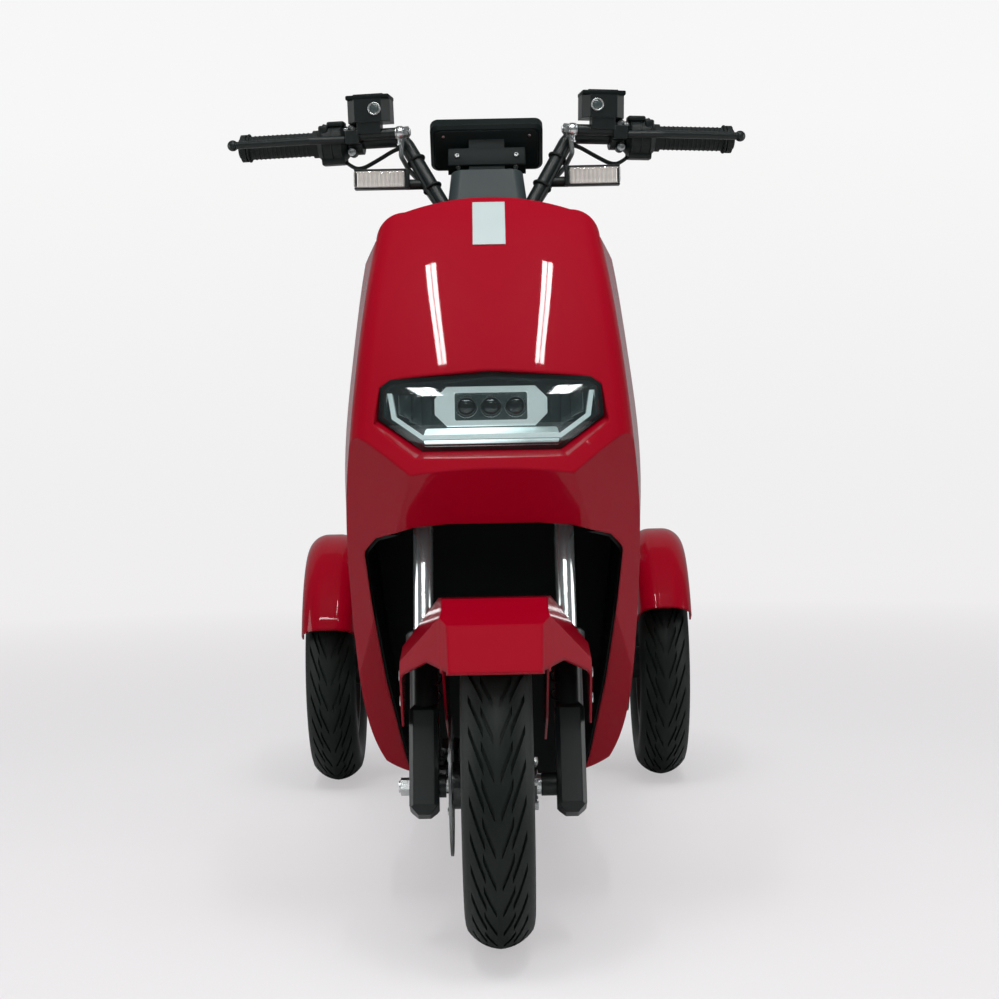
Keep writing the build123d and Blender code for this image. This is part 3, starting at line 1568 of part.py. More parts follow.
def rear_axle():
    """The rear axle: tube, motor housing, trailing arms, hub carriers and spindles."""
    beam = across(axle_tube_radius, axle_tube_half * 2, 0, rear_axle_y, axle_z)
    carrier_x = axle_tube_half + hub_carrier_size[0] / 2 - tail_wall
    pieces = [beam]
    for side in (-1, 1):
        carrier = Pos(side * carrier_x, rear_axle_y, axle_z - hub_carrier_drop) * Box(*hub_carrier_size)
        carrier = fillet(carrier.edges().filter_by(Axis.X), hub_carrier_size[0] / 2)
        pieces.append(carrier)
        spindle_end = track / 2 + stub_reach
        spindle_from = carrier_x
        pieces.append(
            across(
                axle_radius,
                spindle_end - spindle_from,
                side * (spindle_end + spindle_from) / 2,
                rear_axle_y,
                axle_z,
            )
        )
        pivot = Vector(side * arm_half, behind_front_axle(arm_pivot_depth), arm_pivot_z)
        reach = Vector(side * arm_half, rear_axle_y, axle_z) - pivot
        arm_frame = Plane(origin=pivot, x_dir=(1, 0, 0), z_dir=reach)
        pieces.append(arm_frame * Box(*arm_size, reach.length, align=FOOT))
    pieces.append(
        across(
            pivot_radius, arm_half * 2 + arm_size[0], 0, behind_front_axle(arm_pivot_depth), arm_pivot_z
        )
    )
    for side in (-1, 1):
        pieces.append(guard_stay(side))
        lug = Pos(side * spring_half, behind_front_axle(spring_foot[0]), axle_z) * Box(
            damper_radius * 2, damper_radius * 2, spring_foot[1] - axle_z - damper_radius / 2, align=FOOT
        )
        pieces.append(lug)
    return joined(pieces)


def drive_motor():
    """The motor and its gear case round the middle of the axle."""
    motor = across(motor_radius, motor_half * 2, 0, rear_axle_y, axle_z)
    motor = chamfer(motor.edges().filter_by(GeomType.CIRCLE), motor_half / 6)
    return motor - across(axle_tube_radius + fit_gap / 2, motor_half * 4, 0, rear_axle_y, axle_z)


def shocks():
    """The two rear spring units, each coil drawn as a ring round the damper."""
    made = []
    for side in (-1, 1):
        foot = (side * spring_half, behind_front_axle(spring_foot[0]), spring_foot[1])
        head = (side * spring_half, behind_front_axle(spring_head[0]), spring_head[1])
        unit = rod(damper_radius, foot, head) + Pos(*head) * Sphere(damper_radius * 1.1)
        line = Vector(*head) - Vector(*foot)
        frame = Plane(origin=foot, z_dir=line)
        coil = spring_radius - damper_radius
        pitch = (line.length - coil * 4) / spring_coils
        for step in range(spring_coils):
            ring = Pos(0, 0, coil * 2 + pitch * (step + 0.5)) * Cylinder(spring_radius, pitch / 2)
            unit = unit + frame * ring
        made.append(unit - across(spring_bolt_radius + fit_gap, spring_half * 3, 0, head[1], head[2]))
    return made


# Rear mudguards: each arches over its own wheel
rear_guard_radius = 250
rear_guard_half = 48
rear_guard_wall = 3
rear_guard_shoulder = 37
rear_guard_from = 26  # degrees above level where the front edge stands
rear_guard_to = 172
rear_guard_tilt = 3.5  # the right guard sits nose down and the left one nose up
guard_arm_thickness = 5
guard_arm_width = 34


def rear_mudguard(side):
    """One rear mudguard: a domed strip bent round the wheel, on a stay from the axle."""
    half = rear_guard_half
    edge = rear_guard_radius - rear_guard_shoulder

    def strip(inset):
        round_radius = rear_guard_shoulder - inset
        turned = round_radius * math.sin(math.pi / 4)
        flat = half - rear_guard_shoulder
        low = edge - rear_guard_shoulder / 2 if inset == 0 else edge - rear_guard_shoulder
        return make_face(
            Curve()
            + [
                Line((-flat - round_radius, low), (-flat - round_radius, edge)),
                ThreePointArc(
                    (-flat - round_radius, edge), (-flat - turned, edge + turned), (-flat, edge + round_radius)
                ),
                Line((-flat, edge + round_radius), (flat, edge + round_radius)),
                ThreePointArc(
                    (flat, edge + round_radius), (flat + turned, edge + turned), (flat + round_radius, edge)
                ),
                Line((flat + round_radius, edge), (flat + round_radius, low)),
                Line((flat + round_radius, low), (-flat - round_radius, low)),
            ]
        )

    profile = strip(0) - strip(rear_guard_wall)
    start = rear_guard_from + side * rear_guard_tilt
    sweep_angle = rear_guard_to - rear_guard_from
    # the profile lies in the upright plane; it turns about the axle from front to back
    arc = revolve(profile, axis=Axis.X, revolution_arc=sweep_angle)
    return Pos(side * track / 2, rear_axle_y, axle_z) * (Rot(180 - start - sweep_angle, 0, 0) * arc)


def rear_brakes():
    """The rear calipers astride their discs, on the hub carriers."""
    made = []
    for side in (-1, 1):
        x = side * (track / 2 - disc_offset)
        made.append(Pos(x, rear_axle_y, axle_z) * (Rot(0, 0, 180) * caliper_block()))
    return made


def build():
    """Every piece of the scooter by its plain name."""
    shield, knee = split_nose()
    disc_x = -disc_offset
    parts = {
        "front_shield": largest(shield),
        "knee_panel": largest(knee),
        "wheel_arch_liner": wheel_arch_liner(),
        "headlamp_bowl": lamp_bowl(),
        "headlamp_module": lamp_module(),
        "running_light": running_light(),
        "headlamp_cover": lamp_cover(),
        "fork_stem": fork_stem(),
        "fork_tubes": fork_tubes(),
        "lower_legs": lower_legs(),
        "front_axle": front_axle(),
        "front_mudguard": front_mudguard(),
        "front_caliper": front_caliper(),
        "front_tyre": tyre(0, front_axle_y),
        "front_rim": rim(0, front_axle_y, -1),
        "front_disc": brake_disc(disc_x, front_axle_y),
        "handlebar": handlebar(),
        "grips": grips(),
        "switch_housings": switch_housings(),
        "master_cylinders": master_cylinders(),
        "brake_levers": brake_levers(),
        "brake_hoses": brake_hoses(),
        "column_cover": column_cover(),
        "display": display(),
        "display_bracket": display_bracket(),
        "turn_signals": signal_lamps(),
        "floorboard": floorboard(),
        "floor_mat": floor_mat(),
        "side_skirts": side_skirts(),
        "battery_case": battery_case(),
        "main_frame": main_frame(),
        "tail_body": tail_body(),
        "storage_tub": storage_tub(),
        "seat_pan": seat_pan(),
        "seat_cushion": seat_cushion(),
        "seat_hinge": seat_hinge(),
        "grab_rail": grab_rail(),
        "tail_lamp": tail_lamp(),
        "plate_bracket": plate_bracket(),
        "rear_axle": rear_axle(),
        "drive_motor": drive_motor(),
        "rear_shocks": shocks(),
        "rear_calipers": rear_brakes(),
    }
    for name, side in (("right", -1), ("left", 1)):
        x = side * track / 2
        parts[f"rear_tyre_{name}"] = tyre(x, rear_axle_y)
        parts[f"rear_rim_{name}"] = rim(x, rear_axle_y, -side)
        parts[f"rear_disc_{name}"] = brake_disc(x - side * disc_offset, rear_axle_y)
        parts[f"rear_mudguard_{name}"] = rear_mudguard(side)
    return parts


def save(parts):
    """Writes each piece to its own file."""
    os.makedirs("parts", exist_ok=True)
    for name, shape in parts.items():
        pieces = shape if isinstance(shape, list) else [shape]
        solids = [solid for piece in pieces for solid in piece.solids()]
        export_step(Compound(children=solids), f"parts/{name}.step")


save(build())
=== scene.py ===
# %% [markdown]
# # An electric three-wheeled scooter, seen from the front
# The solids come from CAD as a fixed frame: their places and joints are right, and so are the
# panels, tubes and castings. This script gives every surface its finish, and adds what a solid
# model leaves out: tyre tread, lamp optics, fittings, stitching, screws and a bare plate.
# Everything is in metres. +Z is up, the scooter faces -Y, and +X is the rider's left.

# %% Load the frame
import json
import math
import bmesh
import bpy
from mathutils import Matrix, Vector
from mathutils.bvhtree import BVHTree


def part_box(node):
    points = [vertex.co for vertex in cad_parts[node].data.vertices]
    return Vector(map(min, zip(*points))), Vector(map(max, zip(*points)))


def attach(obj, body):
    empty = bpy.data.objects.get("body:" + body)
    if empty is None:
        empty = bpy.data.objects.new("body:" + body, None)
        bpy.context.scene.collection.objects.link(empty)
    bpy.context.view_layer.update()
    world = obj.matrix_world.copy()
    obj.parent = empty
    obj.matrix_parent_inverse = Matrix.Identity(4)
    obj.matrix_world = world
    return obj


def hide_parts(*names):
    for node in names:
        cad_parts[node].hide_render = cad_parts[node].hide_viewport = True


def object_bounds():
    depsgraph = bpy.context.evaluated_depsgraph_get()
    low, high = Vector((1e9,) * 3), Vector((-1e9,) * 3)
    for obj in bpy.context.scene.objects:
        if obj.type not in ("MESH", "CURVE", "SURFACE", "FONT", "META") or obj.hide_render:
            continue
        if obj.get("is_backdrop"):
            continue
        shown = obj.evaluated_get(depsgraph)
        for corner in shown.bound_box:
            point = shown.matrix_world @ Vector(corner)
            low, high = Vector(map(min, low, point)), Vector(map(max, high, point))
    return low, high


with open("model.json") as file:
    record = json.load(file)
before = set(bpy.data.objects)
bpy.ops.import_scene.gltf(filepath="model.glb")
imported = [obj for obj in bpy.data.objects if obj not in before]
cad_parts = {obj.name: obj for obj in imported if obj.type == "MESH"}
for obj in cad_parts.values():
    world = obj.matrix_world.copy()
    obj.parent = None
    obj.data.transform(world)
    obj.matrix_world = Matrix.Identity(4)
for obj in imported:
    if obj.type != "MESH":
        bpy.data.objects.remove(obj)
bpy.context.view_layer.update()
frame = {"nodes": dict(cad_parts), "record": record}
nodes = frame["nodes"]
joints = {joint["name"]: joint for joint in frame["record"]["behaviour"]["joints"]}
front_axle = Vector(joints["front_wheel_spin"]["pos_m"])
rear_axles = {
    side: Vector(joints[f"rear_wheel_{side}_spin"]["pos_m"]) for side in ("right", "left")
}

# %% [markdown]
# ## Sums that work on sockets
# A material's pattern is arithmetic: a noise, scaled, taken from one, mixed over a colour. Wiring
# Math nodes by hand hides that. So a small class wraps a socket, and Python's own plus, minus and
# times put the Math nodes in. Every other node comes from one method that takes its type, its
# settings, and what goes into its sockets.


# %% Sockets and finishes
class Wire:
    """An output socket that takes part in sums and products."""

    def __init__(self, finish, socket):
        self.finish = finish
        self.socket = socket

    def maths(self, operation, other, first=False):
        pair = {0: other, 1: self} if first else {0: self, 1: other}
        return self.finish.node("ShaderNodeMath", {"operation": operation}, pair)

    def __add__(self, other):
        return self.maths("ADD", other)

    def __sub__(self, other):
        return self.maths("SUBTRACT", other)

    def __rsub__(self, other):
        return self.maths("SUBTRACT", other, first=True)

    def __mul__(self, other):
        return self.maths("MULTIPLY", other)

    __radd__ = __add__
    __rmul__ = __mul__


class Finish:
    """A material, and the nodes that feed its shader."""

    def __init__(self, name, **values):
        self.material = bpy.data.materials.new(name)
        self.material.use_nodes = True
        self.tree = self.material.node_tree
        self.shader = self.tree.nodes["Principled BSDF"]
        self.surface = self.tree.nodes["Material Output"].inputs["Surface"]
        self.give(**values)

    def node(self, kind, settings, inputs, output=0):
        """Adds a node: its settings first, then a value or a link for each named socket."""
        made = self.tree.nodes.new(kind)
        for key, value in settings.items():
            setattr(made, key, value)
        for key, value in inputs.items():
            self.connect(made.inputs[key], value)
        return Wire(self, made.outputs[output])

    def connect(self, socket, value):
        if isinstance(value, Wire):
            self.tree.links.new(value.socket, socket)
        elif socket.type == "RGBA":
            socket.default_value = (*value, 1)
        else:
            socket.default_value = value

    def give(self, **values):
        """Sets or links the shader's sockets: base_color is Base Color, and so on."""
        for key, value in values.items():
            name = key.replace("_", " ").title().replace("Ior", "IOR")
            self.connect(self.shader.inputs[name], value)
        return self

    def place(self, scale=(1, 1, 1), turn=(0, 0, 0)):
        """Where a point is on the object, for a pattern to read, stretched or turned at will."""
        where = self.node("ShaderNodeTexCoord", {}, {}, "Object")
        inputs = {"Vector": where, "Rotation": turn, "Scale": scale}
        return self.node("ShaderNodeMapping", {"vector_type": "TEXTURE"}, inputs)

    def noise(self, scale, detail=2.0, roughness=0.5, stretch=(1, 1, 1)):
        inputs = {"Vector": self.place(stretch), "Scale": scale, "Detail": detail, "Roughness": roughness}
        return self.node("ShaderNodeTexNoise", {}, inputs)

    def blend(self, amount, first, second):
        """A colour between two others. Sockets 6 and 7 are the Mix node's colour inputs."""
        return self.node("ShaderNodeMix", {"data_type": "RGBA"}, {0: amount, 6: first, 7: second}, 2)

    def bump(self, height, strength, depth, over=None):
        inputs = {"Height": height, "Strength": strength, "Distance": depth}
        if over is not None:
            inputs["Normal"] = over
        return self.node("ShaderNodeBump", {}, inputs)

    def soft_edges(self, radius):
        """A normal that is rounded near every sharp edge, as paint and moulding round it."""
        return self.node("ShaderNodeBevel", {"samples": 6}, {"Radius": radius})

    def masked(self, value, low, high):
        """Zero below low and one above high, with a straight ramp between."""
        inputs = {0: value, 1: low, 2: high}
        return self.node("ShaderNodeMapRange", {"clamp": True}, inputs)


print("finishes are ready")

# %% [markdown]
# ## Paint
# The red panels are moulded plastic with a colour coat and a clear coat over it. The clear coat
# makes the sharp white reflections and the colour coat under it is a little softer. A moulded
# edge is never a knife edge, so the normal is rounded over 7 mm, and that is what catches the
# light as a bright line along each fold of the nose.

# %% Red paint
panel_edge = 0.007
red_deep = (0.265, 0.0002, 0.0085)
red_light = (0.305, 0.0004, 0.0115)
red_paint = Finish("red_paint", specular_ior_level=0.02)
red_paint.give(coat_weight=0.55, coat_roughness=0.025, coat_ior=1.40)
shade = red_paint.noise(3.0, detail=1.0)
waves = red_paint.noise(38.0, detail=0.0)
red_paint.give(
    base_color=red_paint.blend(shade, red_deep, red_light),
    roughness=0.34 + red_paint.noise(260.0, detail=3.0) * 0.08,
    normal=red_paint.bump(waves, 0.012, 0.004, over=red_paint.soft_edges(panel_edge)),
)

# %% [markdown]
# ## Black parts
# The black pieces aren't one black. Moulded covers have a fine grain and a soft sheen, the frame and
# fork have a smoother powder coat with slight orange peel, and rubber is greyer where it is
# dusty. Each gets its own base, its own roughness and its own scale of bump.


# %% Black plastic, powder coat and rubber
def grained(name, colour, dusty, roughness, grain, depth, strength=0.3, edge=0.0, shine=0.2):
    """A dark finish with a grain, and a little dust that lightens it."""
    finish = Finish(name, specular_ior_level=shine)
    dust = finish.masked(finish.noise(9.0, detail=4.0), 0.42, 0.75)
    fine = finish.noise(grain, detail=3.0, roughness=0.6)
    over = finish.soft_edges(edge) if edge else None
    finish.give(
        base_color=finish.blend(dust, colour, dusty),
        roughness=roughness + (fine - 0.5) * 0.16 + dust * 0.05,
        normal=finish.bump(fine, strength, depth, over=over),
    )
    return finish


black_plastic = grained(
    "black_plastic", (0.0068, 0.0100, 0.0095), (0.010, 0.014, 0.0135), 0.40, 900, 0.0003, edge=0.0015
)
# the wheel-arch liner is the black plastic made darker: painted shade for the inside of the arch
painted_shade_black = grained(
    "painted_shade_black", (0.0022, 0.0036, 0.0034), (0.0034, 0.0050, 0.0048), 0.55, 500, 0.0003, shine=0.15
)
dark_cover = grained(
    "dark_cover", (0.026, 0.036, 0.037), (0.031, 0.042, 0.043), 0.40, 900, 0.0003, edge=0.002
)
display_black = grained(
    "display_black", (0.0060, 0.0092, 0.0090), (0.008, 0.012, 0.0115), 0.42, 1100, 0.0002,
    edge=0.0015, shine=0.08,
)
black_coat = grained(
    "black_coat", (0.0075, 0.0115, 0.0110), (0.0090, 0.0130, 0.0125), 0.36, 120, 0.0002,
    strength=0.03, edge=0.002, shine=0.3,
)
rubber = grained("rubber", (0.0085, 0.0115, 0.0110), (0.014, 0.018, 0.017), 0.58, 700, 0.0004)
tyre_rubber = grained(
    "tyre_rubber", (0.0060, 0.0095, 0.0080), (0.0125, 0.0175, 0.0150), 0.50, 420, 0.0004, shine=0.15
)
gloss_black = Finish("gloss_black", roughness=0.12, specular_ior_level=0.5)
gloss_black.give(coat_weight=0.8, coat_roughness=0.03)
swirl = gloss_black.noise(22.0)
gloss_black.give(base_color=gloss_black.blend(swirl, (0.034, 0.048, 0.048), (0.048, 0.066, 0.066)))

# %% [markdown]
# ## Metals
# Chrome is nearly a mirror with faint smears. The motor's case is cast aluminium under silver
# lacquer, and the rims have a dark graphite one. A brake disc is ground, so its scratches are a
# fine noise stretched along the axle's direction. The brake hoses have a woven steel jacket: two
# crossing sets of waves make its diamonds.

# %% Chrome, silver, graphite and steel
cast_edge = 0.0015
chrome = Finish("chrome", metallic=0.85)
smear = chrome.noise(60.0, detail=4.0)
chrome.give(base_color=chrome.blend(smear, (0.80, 0.84, 0.84), (0.70, 0.74, 0.74)))
chrome.give(roughness=0.16 + smear * 0.10)

silver = Finish("silver", metallic=0.85, coat_weight=0.4)
cast = silver.noise(500.0, detail=3.0)
silver.give(base_color=silver.blend(silver.noise(12.0), (0.42, 0.44, 0.44), (0.52, 0.54, 0.54)))
silver.give(roughness=0.30 + cast * 0.12)
silver.give(normal=silver.bump(cast, 0.2, 0.0003, over=silver.soft_edges(cast_edge)))

graphite = Finish("graphite", metallic=0.7, coat_weight=0.5)
graphite.give(base_color=graphite.blend(graphite.noise(14.0), (0.030, 0.034, 0.034), (0.045, 0.050, 0.050)))
graphite.give(roughness=0.30 + graphite.noise(500.0, detail=3.0) * 0.12)
graphite.give(normal=graphite.soft_edges(cast_edge))

steel = Finish("steel", metallic=1.0)
scratch = steel.noise(1400.0, detail=3.0, stretch=(6, 1, 1))
steel.give(base_color=steel.blend(scratch, (0.16, 0.17, 0.17), (0.26, 0.27, 0.27)))
steel.give(roughness=0.28 + scratch * 0.25, normal=steel.bump(scratch, 0.15, 0.0002))

zinc = Finish("zinc", metallic=1.0)
spangle = zinc.noise(400.0)
zinc.give(base_color=zinc.blend(spangle, (0.66, 0.69, 0.68), (0.50, 0.52, 0.52)))
zinc.give(roughness=0.20 + spangle * 0.2)

braid = Finish("braid", metallic=0.6)
weave_lean = 0.8
left_hand, right_hand = (
    braid.node("ShaderNodeTexWave", {}, {"Vector": braid.place(turn=(0, lean, 0)), "Scale": 260.0})
    for lean in (-weave_lean, weave_lean)
)
strands = left_hand * right_hand
braid.give(base_color=braid.blend(strands, (0.05, 0.055, 0.055), (0.36, 0.38, 0.38)))
braid.give(roughness=0.42 - strands * 0.1, normal=braid.bump(strands, 0.5, 0.0004))

# %% [markdown]
# ## Lenses and lamps
# The lamp cover is thin clear plastic. What makes it look clear is that it lets light through
# straight and only reflects more where it is seen at a slant, so it mixes a transparent shader
# with a mirror by the Fresnel rule. Light guides are milky, and the unlit running light has a faint
# glow of its own: a painted reflection of the bright room. The mirrors in the lamps see little of the
# bright room from inside their housings, so they are given a faint light of their own, a painted reflection.


# %% Clear, milky and red plastics
def clear_plastic(name, tint, extra):
    """A see-through cover: transparent, with a mirror skin that grows at a slant."""
    finish = Finish(name, base_color=(0.95, 0.97, 0.97), metallic=1.0)
    finish.give(roughness=0.015 + finish.noise(30.0) * 0.02)
    through = finish.node("ShaderNodeBsdfTransparent", {}, {"Color": tint})
    skin = finish.node("ShaderNodeFresnel", {}, {"IOR": 1.5}) + extra
    mirror = Wire(finish, finish.shader.outputs["BSDF"])
    mixed = finish.node("ShaderNodeMixShader", {}, {0: skin, 1: through, 2: mirror})
    finish.connect(finish.surface, mixed)
    return finish


def tinted(name, first, second, roughness, **values):
    """A plain coloured plastic whose colour and gloss drift a little from place to place."""
    finish = Finish(name, **values)
    drift = finish.noise(14.0, detail=3.0)
    finish.give(base_color=finish.blend(drift, first, second))
    return finish.give(roughness=roughness + finish.noise(320.0) * 0.08)


def glowing(finish, scale, first, second, strength):
    """Gives a finish a faint, uneven light of its own."""
    patches = finish.noise(scale)
    finish.give(emission_color=finish.blend(patches, first, second), emission_strength=strength)


clear_cover = clear_plastic("clear_cover", (0.90, 0.94, 0.94), 0.02)
signal_cover = clear_plastic("signal_cover", (0.93, 0.93, 0.92), 0.03)
milky = tinted("milky", (0.80, 0.90, 0.90), (0.88, 0.95, 0.95), 0.22, coat_weight=0.6)
# the running light's faint glow is a painted reflection of the bright room
glowing(milky, 30.0, (0.60, 0.70, 0.70), (0.80, 0.90, 0.90), 0.45)
red_lens = tinted("red_lens", (0.30, 0.003, 0.005), (0.40, 0.006, 0.008), 0.08, coat_weight=1.0)
screen = tinted("screen", (0.004, 0.005, 0.006), (0.006, 0.008, 0.009), 0.04, coat_weight=1.0)
window_grey = tinted("window_grey", (0.040, 0.058, 0.056), (0.052, 0.072, 0.070), 0.22, coat_weight=0.6)
lens_glass = tinted("lens_glass", (0.012, 0.018, 0.018), (0.020, 0.028, 0.028), 0.03, coat_weight=1.0)
plate_vinyl = tinted("plate_vinyl", (0.38, 0.45, 0.45), (0.43, 0.50, 0.50), 0.34, coat_weight=0.3)
mirror_coat = tinted("mirror_coat", (0.84, 0.90, 0.90), (0.78, 0.84, 0.84), 0.26, metallic=0.45)
glowing(mirror_coat, 30.0, (0.70, 0.76, 0.76), (0.80, 0.88, 0.88), 0.38)
# the indicator reflectors' fine, patchy glow is a painted reflection
peach_mirror = tinted("peach_mirror", (0.86, 0.82, 0.79), (0.70, 0.68, 0.66), 0.20, metallic=0.3)
glowing(peach_mirror, 160.0, (0.50, 0.46, 0.44), (1.0, 0.96, 0.93), 0.22)
thread = tinted("thread", (0.055, 0.058, 0.060), (0.075, 0.078, 0.080), 0.6)

# the lamp's lower mirror has a painted reflection: its glow is bright on one side and falls off across the
# middle
reflector = tinted("reflector", (0.84, 0.90, 0.90), (0.90, 0.94, 0.94), 0.12, metallic=0.3)
across = reflector.node("ShaderNodeSeparateXYZ", {}, {"Vector": reflector.place()}, 0)
fall_off = reflector.masked(across, -0.02, 0.05)
glint = reflector.blend(fall_off, (0.90, 0.97, 0.97), (0.16, 0.20, 0.20))
reflector.give(emission_color=glint, emission_strength=1.0)

# %% [markdown]
# ## Seat covering
# The seat is covered in grained black vinyl. The grain is a cell pattern, flattened so that the
# cells are plates with narrow valleys between them.

# %% Seat vinyl
vinyl = Finish("vinyl", coat_weight=0.15, coat_roughness=0.4)
wear = vinyl.noise(7.0, detail=3.0)
cell_edges = {"feature": "DISTANCE_TO_EDGE"}
cells = vinyl.node("ShaderNodeTexVoronoi", cell_edges, {"Vector": vinyl.place(), "Scale": 420.0})
plates = vinyl.masked(cells, 0.0, 0.22)
vinyl.give(base_color=vinyl.blend(wear, (0.011, 0.0115, 0.012), (0.017, 0.0175, 0.018)))
vinyl.give(roughness=0.58 - plates * 0.12, normal=vinyl.bump(plates, 0.5, 0.0004))

# %% [markdown]
# ## Finishes on the CAD pieces
# A CAD piece whose shape is right keeps its mesh and only changes its material. One table says
# which finish goes on which pieces, so a change of paint is a change of one line.

# %% Dress the CAD pieces
finish_of = {
    red_paint: "front_shield side_skirts tail_body front_mudguard rear_mudguard_right rear_mudguard_left",
    black_plastic: "knee_panel floorboard storage_tub plate_bracket switch_housings seat_pan",
    painted_shade_black: "wheel_arch_liner",
    gloss_black: "headlamp_bowl",
    dark_cover: "column_cover",
    display_black: "display display_bracket",
    black_coat: "battery_case main_frame grab_rail rear_axle rear_calipers fork_stem lower_legs"
    " front_caliper handlebar master_cylinders brake_levers rear_shocks turn_signals",
    rubber: "floor_mat grips",
    tyre_rubber: "front_tyre rear_tyre_right rear_tyre_left",
    chrome: "fork_tubes",
    mirror_coat: "headlamp_module",
    silver: "drive_motor",
    graphite: "front_rim rear_rim_right rear_rim_left",
    steel: "front_disc rear_disc_right rear_disc_left",
    zinc: "front_axle seat_hinge",
    braid: "brake_hoses",
    clear_cover: "headlamp_cover",
    milky: "running_light",
    red_lens: "tail_lamp",
    vinyl: "seat_cushion",
}
for finish, names in finish_of.items():
    for name in names.split():
        mesh = nodes[name].data
        mesh.materials.clear()
        mesh.materials.append(finish.material)
dressed = " ".join(finish_of.values()).split()
print("CAD pieces without a finish:", [name for name in nodes if name not in dressed])

# %% [markdown]
# ## From a bmesh to a piece
# Each new piece is made in its own bmesh, in place. This turns it into an object, gives it a
# finish, says which body it moves with, and shades it smooth except over sharp corners.


# %% Make a piece
def piece(name, bm, finish, body, smooth=38):
    """An object from a bmesh, riding on a CAD body. A fold above smooth degrees stays sharp."""
    bmesh.ops.remove_doubles(bm, verts=bm.verts, dist=1e-6)
    bmesh.ops.recalc_face_normals(bm, faces=bm.faces)
    for face in bm.faces:
        face.smooth = smooth > 0
    for edge in bm.edges:
        if len(edge.link_faces) == 2 and edge.calc_face_angle() > math.radians(smooth):
            edge.smooth = False
    mesh = bpy.data.meshes.new(name)
    bm.to_mesh(mesh)
    bm.free()
    print(name, "has", len(mesh.polygons), "faces")
    return shown(name, mesh, finish, body)


def shown(name, data, finish, body):
    """Puts a mesh or a curve in the scene as a piece."""
    made = bpy.data.objects.new(name, data)
    bpy.context.scene.collection.objects.link(made)
    data.materials.append(finish.material)
    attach(made, body)
    return made


def cables(name, lines, radius, finish, body):
    """Hoses or wires as smooth curves with a round section."""
    curve = bpy.data.curves.new(name, "CURVE")
    curve.dimensions = "3D"
    curve.bevel_depth = radius
    curve.bevel_resolution = 3
    curve.use_fill_caps = True
    for points in lines:
        spline = curve.splines.new("NURBS")
        spline.points.add(len(points) - 1)
        for point, place in zip(spline.points, points):
            point.co = (*place, 1)
        spline.order_u = 3
        spline.use_endpoint_u = True
    return shown(name, curve, finish, body)


# %% [markdown]
# ## A few turned and milled shapes
# Bolts, bosses, caps and lenses are turned, so they start as a cone with its rims rounded off.
# Housings are milled blocks with rounded edges. Each takes a matrix that says where it stands and
# which way its own Z points, so the same few shapes serve every corner of the scooter.

# %% Shapes that stand on a matrix
# each of these points a shape's own Z somewhere: to the rider's left, back, forward, or down
ALONG_X = Matrix.Rotation(math.radians(90), 4, "Y")
ALONG_Y = Matrix.Rotation(math.radians(-90), 4, "X")
FORWARD = Matrix.Rotation(math.radians(90), 4, "X")
TURNED_OVER = Matrix.Rotation(math.pi, 4, "X")


def at(x, y, z):
    return Matrix.Translation((x, y, z))


def outward(side):
    """Points a shape's own Z to the right (-1) or to the left (1) of the scooter."""
    return Matrix.Rotation(side * math.radians(90), 4, "Y")


def standing(foot, along, aside="Y"):
    """A place at a point, with its Z along a direction."""
    return Matrix.Translation(foot) @ along.to_track_quat("Z", aside).to_matrix().to_4x4()


def up_of(where):
    """The direction of a place's own Z."""
    return (where.to_3x3() @ Vector((0, 0, 1))).normalized()


def carried(verts):
    """Some vertices with the edges and faces that they carry."""
    edges = {e for v in verts for e in v.link_edges}
    faces = {f for v in verts for f in v.link_faces}
    return list(verts) + list(edges) + list(faces)


def verts_of(geometry):
    """The vertices in what an operator gives back."""
    return [v for v in geometry if isinstance(v, bmesh.types.BMVert)]


def caps_of(faces):
    """The faces with more corners than four, which close the end of a turned or cut shape."""
    return [f for f in faces if len(f.verts) > 4]


def rounded(bm, edges, size, steps=2):
    bmesh.ops.bevel(
        bm, geom=list(edges), offset=size, offset_type="OFFSET", segments=steps, profile=0.5,
        affect="EDGES", material=-1, clamp_overlap=True,
    )


def drum(bm, where, radius, length, rim=0.0006, top=None, sides=28, socket=0.0):
    """A turned piece standing on a place. socket is the share of a hole sunk in its end."""
    far = radius if top is None else top
    middle = where @ at(0, 0, length / 2)
    made = bmesh.ops.create_cone(
        bm, cap_ends=True, segments=sides, radius1=radius, radius2=far, depth=length, matrix=middle
    )
    if rim:
        rounded(bm, {e for v in made["verts"] for e in v.link_edges if caps_of(e.link_faces)}, rim)
    if socket:
        end = where @ Vector((0, 0, length))
        cap = min(caps_of(bm.faces), key=lambda f: (f.calc_center_median() - end).length)
        bmesh.ops.inset_individual(bm, faces=[cap], thickness=far * (1 - socket) - rim)
        sunk = bmesh.ops.extrude_discrete_faces(bm, faces=[cap])["faces"]
        depth = min(length * 0.6, far * 0.7)
        bmesh.ops.translate(bm, vec=-up_of(where) * depth, verts=sunk[0].verts)


def block(bm, where, size, rim=0.001, steps=2):
    """A milled block about a place, its edges rounded."""
    made = bmesh.ops.create_cube(bm, size=1, matrix=where @ Matrix.Diagonal((*size, 1)))
    if rim:
        rounded(bm, {e for v in made["verts"] for e in v.link_edges}, rim, steps)


def hoop(bm, where, radius, thick, sides=32):
    """A round wire ring about a place."""
    start = where @ at(radius, 0, 0) @ FORWARD
    made = bmesh.ops.create_circle(bm, cap_ends=False, segments=10, radius=thick, matrix=start)
    bmesh.ops.spin(
        bm, geom=carried(made["verts"]), cent=where.translation, axis=up_of(where),
        dvec=(0, 0, 0), angle=math.tau, steps=sides, use_merge=True,
    )


